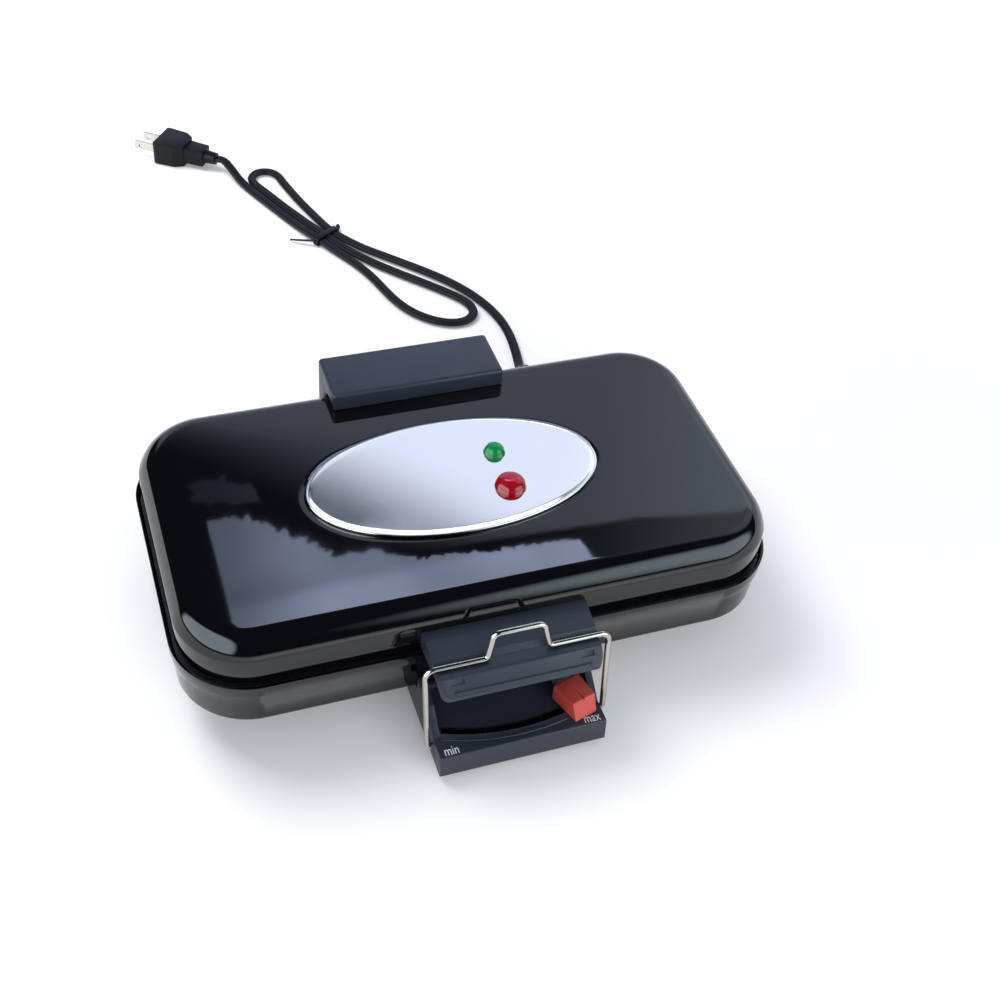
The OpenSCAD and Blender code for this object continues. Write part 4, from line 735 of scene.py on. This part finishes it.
@dataclass
class MainsLead:
    """The flat two-core lead on its route, with its plug, strain relief and twist tie."""

    width: float = 6.0
    thickness: float = 4.0
    groove: float = 0.55
    sides: int = 20
    steps: int = 3
    route: tuple[tuple[float, float, float], ...] = (
        (86, 113, 31), (86, 119, 31), (87, 126.5, 28), (89, 134, 20.5), (91.8, 141.5, 12.5), (94.5, 149.5, 5.8),
        (97.2, 159, 2.6), (99.4, 171, 2.2), (101, 184, 2.2), (101.4, 197, 2.2), (99.8, 210.5, 2.2), (96, 224, 2.2),
        (89.8, 238, 2.2), (80.6, 252.6, 2.2), (69.6, 266, 2.2), (57.8, 278.6, 2.2), (45.8, 291, 2.2), (34.6, 302.6, 2.2),
        (25.4, 313.8, 2.6), (17.8, 325.3, 3), (13.8, 336.4, 2.6), (10.6, 347.6, 2.2), (7.2, 359, 2.2), (4, 370.4, 2.2),
        (1.2, 382, 2.2), (-1.4, 393.6, 2.2), (-3.8, 405, 2.2), (-9.2, 410.8, 2.2), (-16.8, 411, 2.2), (-22, 405.4, 2.2),
        (-22.2, 397.8, 2.2), (-17.2, 386, 2.2), (-12, 374, 2.2), (-6.8, 362, 2.2), (-1.2, 350.2, 2.2), (4.6, 338.2, 2.2),
        (8.8, 329.6, 2.6), (12.4, 321.8, 3), (17.6, 312.4, 2.6), (23.4, 302.8, 2.2), (30.6, 292.6, 2.2), (38.8, 282.2, 2.2),
        (47.6, 272.2, 2.2), (56.8, 262.4, 2.2), (66, 252.6, 2.2), (74.8, 242.8, 2.2), (82.2, 233.4, 2.2), (86.2, 224.4, 2.2),
        (85.2, 215.6, 2.2), (78.8, 210.2, 2.2), (70, 209.6, 2.2), (61, 213.2, 2.2), (52.6, 219.8, 2.2), (45.4, 228.8, 2.2),
        (40, 239.6, 2.2), (36.2, 251, 2.2), (33, 263, 2.2), (29.2, 275, 2.2), (24.4, 286.4, 2.2), (18.6, 297.4, 2.2),
        (12.6, 308, 2.6), (7, 318.3, 3), (0.6, 330.2, 2.6), (-5.4, 342.4, 2.2), (-11, 354.8, 2.2), (-16.4, 367, 2.2),
        (-21.8, 379.2, 2.2), (-27, 391.4, 2.2), (-31.6, 402.6, 3.6), (-35.2, 412.4, 6.6), (-38.8, 422, 8.2), (-43.6, 425.6, 8.2),
    )

    def line(self) -> list[Vector]:
        """Points of a smooth curve through the route, in millimetres."""
        fixed = [Vector(p) + ORIGIN_SHIFT for p in self.route]
        points: list[Vector] = []
        for i in range(len(fixed) - 1):
            a, b = fixed[max(i - 1, 0)], fixed[i]
            c, d = fixed[i + 1], fixed[min(i + 2, len(fixed) - 1)]
            for k in range(self.steps):
                t = k / self.steps
                points.append(
                    0.5 * (2 * b + (c - a) * t + (2 * a - 5 * b + 4 * c - d) * t * t + (3 * b - a - 3 * c + d) * t**3)
                )
        return points + [fixed[-1]]

    def section(self) -> list[Vector]:
        """The lead's section: two cores side by side with a groove between them."""
        shape: list[Vector] = []
        for k in range(self.sides):
            a = 2 * math.pi * (k + 0.5) / self.sides
            x = math.copysign(abs(math.cos(a)) ** 0.85, math.cos(a)) * self.width / 2
            dip = self.groove * math.exp(-((x / 0.9) ** 2))
            y = math.copysign(abs(math.sin(a)) ** 0.85 * self.thickness / 2 - dip, math.sin(a))
            shape.append(Vector((x, y, 0)))
        return shape

    def build(self) -> None:
        """Makes the lead and what is on it."""
        line = self.line()
        lead = swept("mains_lead", line, self.section(), PVC)
        settle(lead, Body.BASE, "black_plastic", "mains_cord")
        relief = settle(rounded_copy("strain_relief", "relief_sleeve", PVC, 0.3), Body.BASE, "black_plastic")
        plug = settle(rounded_copy("plug_body", "moulded_plug", PVC, 0.8, 3), Body.BASE, "black_plastic")
        tie = settle(rounded_copy("cord_tie", "twist_tie", PVC, 0.15), Body.BASE, "black_plastic")


@dataclass
class LidShell:
    """The pressed lid: an upright skirt, a rolled shoulder and a slightly crowned top with an oval seat."""

    corner: float = 35.0
    shoulder: float = 11.5
    crown: float = 0.2
    end_slope: float = 0.4
    easing: float = 0.35
    fold: float = 30.0
    fold_share: float = 0.06
    seat: float = 0.8
    seat_size: tuple[float, float] = (153.4, 81.4)
    sheet: float = 1.0
    shoulder_steps: int = 42

    def shoulder_line(self) -> list[tuple[float, float]]:
        """Insets and heights up the shoulder: a short fold at the skirt, then a bend that fades out into the top."""
        turn = 90 - self.end_slope - self.fold
        run, rise = 0.0, 0.0
        line = [(0.0, 0.0)]
        for k in range(self.shoulder_steps):
            t = (k + 0.5) / self.shoulder_steps
            eased = t + (t * t * (3 - 2 * t) - t) * self.easing
            a = math.radians(90 - turn * eased - self.fold * min(t / self.fold_share, 1.0))
            run += math.cos(a)
            rise += math.sin(a)
            line.append((run, rise))
        return [(x / run * self.shoulder, z / rise * self.shoulder) for x, z in line]

    def oval(self, ring: list[Vector], width: float, depth: float, z: float, bounds: Vector) -> list[Vector]:
        """Points of an oval that face the points of a ring."""
        turned = [math.atan2(p.y / bounds.y, p.x / bounds.x) for p in ring]
        return [Vector((width / 2 * math.cos(a), depth / 2 * math.sin(a), z)) for a in turned]

    def build(self) -> None:
        """Makes the shell and puts it on the lid."""
        low, high = (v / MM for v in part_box("lid_shell"))
        size = high - low
        middle = (high + low) / 2
        straight = high.z - self.crown - self.shoulder
        rings: list[list[Vector]] = []

        def outline(inset: float, z: float) -> list[Vector]:
            """The lid's outline drawn in by an inset, at a height."""
            flat = round_rect(size.x - 2 * inset, size.y - 2 * inset, self.corner - inset)
            return [Vector((p.x, p.y, z)) for p in flat]

        for inset, z in ((0.35, low.z), (0.1, low.z + 0.1), (0.0, low.z + 0.4), (0.0, (low.z + straight) / 2)):
            rings.append(outline(inset, z))
        rings += [outline(inset, straight + rise) for inset, rise in self.shoulder_line()]
        edge = rings[-1]
        bounds = Vector((max(p.x for p in edge), max(p.y for p in edge), 0))
        seat_ring = self.oval(edge, *self.seat_size, high.z, bounds)
        slope = math.tan(math.radians(self.end_slope))
        for s in (0.03, 0.08, 0.14, 0.2, 0.27, 0.34, 0.42, 0.5, 0.58, 0.66, 0.74, 0.82, 0.89, 0.95, 1.0):
            start, end = s * (1 - s) ** 2 * slope, s * s * (3 - 2 * s) * self.crown
            rings.append([Vector((*a.lerp(b, s).xy, a.z + (a - b).xy.length * start + end)) for a, b in zip(edge, seat_ring)])
        for inset, drop in ((0.25, 0.08), (0.45, 0.3), (0.5, self.seat), (4.0, self.seat), (40.0, self.seat)):
            width, depth = (s - 2 * inset for s in self.seat_size)
            rings.append(self.oval(edge, width, max(depth, 1.0), high.z - drop, bounds))
        moved = [[p + Vector((middle.x, middle.y, 0)) for p in ring] for ring in rings]
        mesh = grid_mesh("lid_shell_sheet", moved, closed_ends=False)
        source = new_object("lid_shell_source", mesh, ENAMEL)
        thick = source.modifiers.new("sheet", "SOLIDIFY")
        thick.thickness = self.sheet * MM
        thick.offset = -1.0
        shell = baked(source, "enamelled_lid", ENAMEL, 50.0)
        settle(shell, Body.LID, "black_enamel", "lid_shell")


@dataclass
class Badge:
    """The bare oval plate: a slightly domed face inside a narrow rolled bead."""

    steps: int = 160
    gap: float = 0.35
    face_rise: float = 0.06

    def build(self) -> None:
        """Makes the plate and puts it on the lid."""
        low, high = (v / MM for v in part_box("badge_plate"))
        middle = (low + high) / 2
        half = (high - low) / 2
        face = high.z - self.face_rise - 0.05
        profile = [
            (self.gap, low.z), (self.gap, face - 0.35), (self.gap + 0.08, face - 0.12), (self.gap + 0.25, face - 0.01),
            (self.gap + 0.4, face), (self.gap + 1.1, face - 0.09), (self.gap + 1.3, face - 0.1), (self.gap + 1.9, face - 0.04),
            (self.gap + 2.6, face), (self.gap + 4.0, face + 0.01),
        ]
        rings = [self.ring(middle, half.x - inset, half.y - inset, z) for inset, z in profile]
        inner, rim = profile[-1]
        for s in (0.9, 0.8, 0.65, 0.5, 0.35, 0.2, 0.08):
            wide, deep = (half.x - inner) * s, (half.y - inner) * s
            rings.append(self.ring(middle, wide, deep, rim + self.face_rise * (1 - s * s)))
        plate = new_object("oval_badge", grid_mesh("badge_plate_sheet", rings), BRUSHED, 50.0)
        settle(plate, Body.LID, "badge_steel", "badge_plate")

    def ring(self, middle: Vector, width: float, depth: float, z: float) -> list[Vector]:
        """An oval ring with half axes, at a height."""
        angles = (2 * math.pi * k / self.steps for k in range(self.steps))
        return [Vector((middle.x + width * math.cos(a), middle.y + depth * math.sin(a), z)) for a in angles]


def rib_ring_tree() -> bpy.types.NodeTree:
    """Builds the tree that stands rounded ribs in a ring round each of its points."""
    found = bpy.data.node_groups.get("rib_ring")
    if found:
        return found
    tree = bpy.data.node_groups.new("rib_ring", "GeometryNodeTree")
    face = tree.interface
    face.new_socket(name="Middle", in_out="INPUT", socket_type="NodeSocketGeometry")
    for name in ("Count", "Ring radius", "Rib width", "Rib height"):
        kind = "NodeSocketInt" if name == "Count" else "NodeSocketFloat"
        face.new_socket(name=name, in_out="INPUT", socket_type=kind)
    face.new_socket(name="Finish", in_out="INPUT", socket_type="NodeSocketMaterial")
    face.new_socket(name="Ribs", in_out="OUTPUT", socket_type="NodeSocketGeometry")
    start = add_node(tree, "NodeGroupInput").outputs
    circle = add_node(tree, "GeometryNodeMeshCircle", {"Vertices": start["Count"], "Radius": start["Ring radius"]})
    size = add_node(
        tree, "ShaderNodeCombineXYZ", {"X": start["Rib width"], "Y": start["Rib width"], "Z": start["Rib height"]}
    )
    round_rib = add_node(tree, "GeometryNodeMeshUVSphere", {"Segments": 10, "Rings": 8, "Radius": 0.5})
    ribs = add_node(
        tree, "GeometryNodeInstanceOnPoints", {"Points": circle.outputs[0], "Instance": round_rib.outputs[0], "Scale": size.outputs[0]}
    )
    rings = add_node(tree, "GeometryNodeInstanceOnPoints", {"Points": start["Middle"], "Instance": ribs.outputs[0]})
    plain = add_node(tree, "GeometryNodeRealizeInstances", {0: rings.outputs[0]})
    dressed = add_node(tree, "GeometryNodeSetMaterial", {"Geometry": plain.outputs[0], "Material": start["Finish"]})
    add_node(tree, "NodeGroupOutput", {0: dressed.outputs[0]})
    return tree


@dataclass
class Lens:
    """A pilot lamp's lens: a thin foot, a full dome that is flatter on top, and a ring of moulded ribs at its foot."""

    node: str
    name: str
    finish: Finish
    slot: str
    foot: float
    fullness: float
    facets: int
    facet_depth: float
    ribs: int
    rib_width: float
    rib_height: float
    steps: int = 96
    dome_steps: int = 14

    def build(self) -> None:
        """Makes the lens above the badge; its stem stays hidden below."""
        low, high = (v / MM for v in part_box(self.node))
        middle = (low + high) / 2
        radius = (high.x - low.x) / 2
        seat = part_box("badge_plate")[1].z / MM - 0.3
        height = high.z - seat - self.foot
        cap = radius - 0.35
        profile = [(radius - 0.25, -0.2), (radius, 0.1), (radius, self.foot * 0.6), (radius - 0.15, self.foot), (cap + 0.05, self.foot)]
        for k in range(1, self.dome_steps + 1):
            a = math.pi / 2 * k / self.dome_steps
            share, rise = (abs(v) ** (2 / self.fullness) for v in (math.cos(a), math.sin(a)))
            profile.append((max(cap * share, 0.02), self.foot + height * rise))
        rings: list[list[Vector]] = []
        for reach, z in profile:
            depth = self.facet_depth if z > self.foot and reach > 0.25 * radius else 0.0
            ring = []
            for k in range(self.steps):
                a = 2 * math.pi * k / self.steps
                r = reach - depth * abs(math.sin(self.facets * a / 2))
                ring.append(Vector((middle.x + r * math.cos(a), middle.y + r * math.sin(a), seat + z)))
            rings.append(ring)
        piece = new_object(self.name, grid_mesh(self.name, rings), self.finish, 45.0)
        settle(piece, Body.LID, self.slot, self.node)
        start = wire_object(self.name + "_middle", [Vector((middle.x, middle.y, seat + self.foot + self.rib_height * 0.3))])
        sizes = {
            "Count": self.ribs, "Ring radius": (cap - self.rib_width * 0.45) * MM,
            "Rib width": self.rib_width * MM, "Rib height": self.rib_height * MM,
        }
        settle(node_piece(start, rib_ring_tree(), sizes, self.name + "_ribs", self.finish), Body.LID, self.slot)


@dataclass
class LatchWire:
    """The wire frame that hooks over the upper handle, drawn as one wire with rounded bends."""

    wire: float = 3.0
    leg: float = 44.8
    reach: float = 47.0
    loop_height: float = 13.8
    loop_foot: float = 15.2
    loop_top: float = 12.2
    pivot_depth: float = 3.4
    lean: float = 10.7
    pivot: tuple[float, float, float] = (0.0, -98.9, 12.5)
    sides: int = 20

    def build(self) -> None:
        """Makes the wire and puts it on the latch."""
        pivot_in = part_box("latch_bail")[1].x / MM - self.wire / 2 - (self.leg + 0.6 - 38.6)
        half = [
            (pivot_in, 0.0, 0.0), (self.leg, 0.0, 2.2), (self.leg + 0.6, self.reach, 4.5),
            (self.loop_foot, self.reach, 2.4), (self.loop_top, self.reach + self.loop_height, 3.6),
        ]
        path = [(-x, z, r) for x, z, r in half] + list(reversed(half))
        lean = math.radians(self.lean)
        points = [Vector(self.pivot) + Vector((x, z * math.sin(lean), z * math.cos(lean))) for x, z, _ in path]
        turns = (2 * math.pi * k / self.sides for k in range(self.sides))
        section = [Vector((math.cos(a), math.sin(a), 0)) * self.wire / 2 for a in turns]
        piece = swept("latch_wire", points, section, NICKEL_WIRE, [bend for _, _, bend in path])
        settle(piece, Body.LATCH, "wire_chrome", "latch_bail")


@dataclass
class Lettering:
    """The two words at the ends of the heat control's slot, printed on the lower handle."""

    height: float = 7.3
    ink: float = 0.05
    squeeze: float = 0.69
    thinning: float = 0.04

    def word(self, text: str, left: float, front: float) -> None:
        """Prints a word with its lower left corner at a place on the handle's top.

        Args:
            text: The word.
            left: Its left edge in millimetres.
            front: Its baseline in millimetres.
        """
        curve = bpy.data.curves.new("print_" + text, "FONT")
        curve.body = text
        curve.size = self.height * MM
        curve.offset = -self.thinning * MM
        curve.extrude = self.ink * MM
        source = bpy.data.objects.new("print_source_" + text, curve)
        bpy.context.scene.collection.objects.link(source)
        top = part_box("lower_handle")[0].z / MM - 3.5 + 17.0
        source.matrix_world = Matrix.Translation(Vector((left, front, top)) * MM) @ Matrix.Diagonal((self.squeeze, 1, 1, 1))
        piece = baked(source, "printed_" + text, WHITE_INK)
        settle(piece, Body.BASE, "handle_plastic")

    def build(self) -> None:
        """Prints both words."""
        self.word("min", -39.4, -109.4)
        self.word("max", 31.2, -109.4)


@dataclass
class Mouldings:
    """Handles, hinge parts, knob and feet: rounded copies of the frame's own."""

    def build(self) -> None:
        """Makes each moulding and puts it on its body."""
        for node, name, radius, end, body in (
            ("upper_handle", "upper_grip", 0.9, None, Body.LID),
            ("lower_handle", "lower_grip", 0.25, None, Body.BASE),
            ("upper_hinge_block", "hinge_cover", 1.8, 47.0, Body.LID),
            ("lower_hinge_bracket", "hinge_bracket", 0.5, None, Body.BASE),
        ):
            settle(rounded_copy(node, name, PHENOLIC, radius, 3, end), body, "handle_plastic")
        settle(rounded_copy("control_knob", "slider_knob", CORAL, 0.5, 3), Body.CONTROL, "red_knob")
        settle(rounded_copy("base_shell", "enamelled_base", ENAMEL, 0.0), Body.BASE, "black_enamel")
        for node in ("foot_front_left", "foot_front_right", "foot_rear_left", "foot_rear_right"):
            settle(rounded_copy(node, node + "_rubber", RUBBER, 0.5), Body.BASE, "black_plastic")


def dress_frame() -> None:
    """Gives the frame's own nodes that still show their finishes."""
    finishes = {
        "plate_cast": COATED_CAST, "element_steel": INCOLOY, "reflector_steel": REFLECTOR, "screw_steel": ZINC,
        "ceramic": STEATITE, "brass": BRASS, "lamp_glass": LAMP_GLASS, "black_plastic": PVC, "handle_plastic": PHENOLIC,
    }
    slots = {row["node"]: row["material_slot"] for row in frame["record"]["subparts"]}
    for name, node in frame["nodes"].items():
        finish = BLADE_METAL if name == "plug_blades" else finishes.get(slots[name])
        if finish and not node.hide_render:
            node.data.materials.clear()
            node.data.materials.append(finish.material())
            LOG.info("%s gets %s", name, finish.name)


def main() -> None:
    """Builds the studio and every sub-assembly in order."""
    logging.basicConfig(level=logging.INFO, format="%(name)s: %(message)s")
    Studio().build()
    MainsLead().build()
    LidShell().build()
    Badge().build()
    Lens("red_lens", "red_pilot_lens", RED_LENS, "red_glass", 0.8, 2.6, 24, 0.0, 36, 0.6, 1.2).build()
    Lens("green_lens", "green_pilot_lens", GREEN_LENS, "green_glass", 0.6, 2.2, 12, 0.14, 24, 0.55, 1.1).build()
    Mouldings().build()
    LatchWire().build()
    Lettering().build()
    dress_frame()


if __name__ == "__main__":
    main()
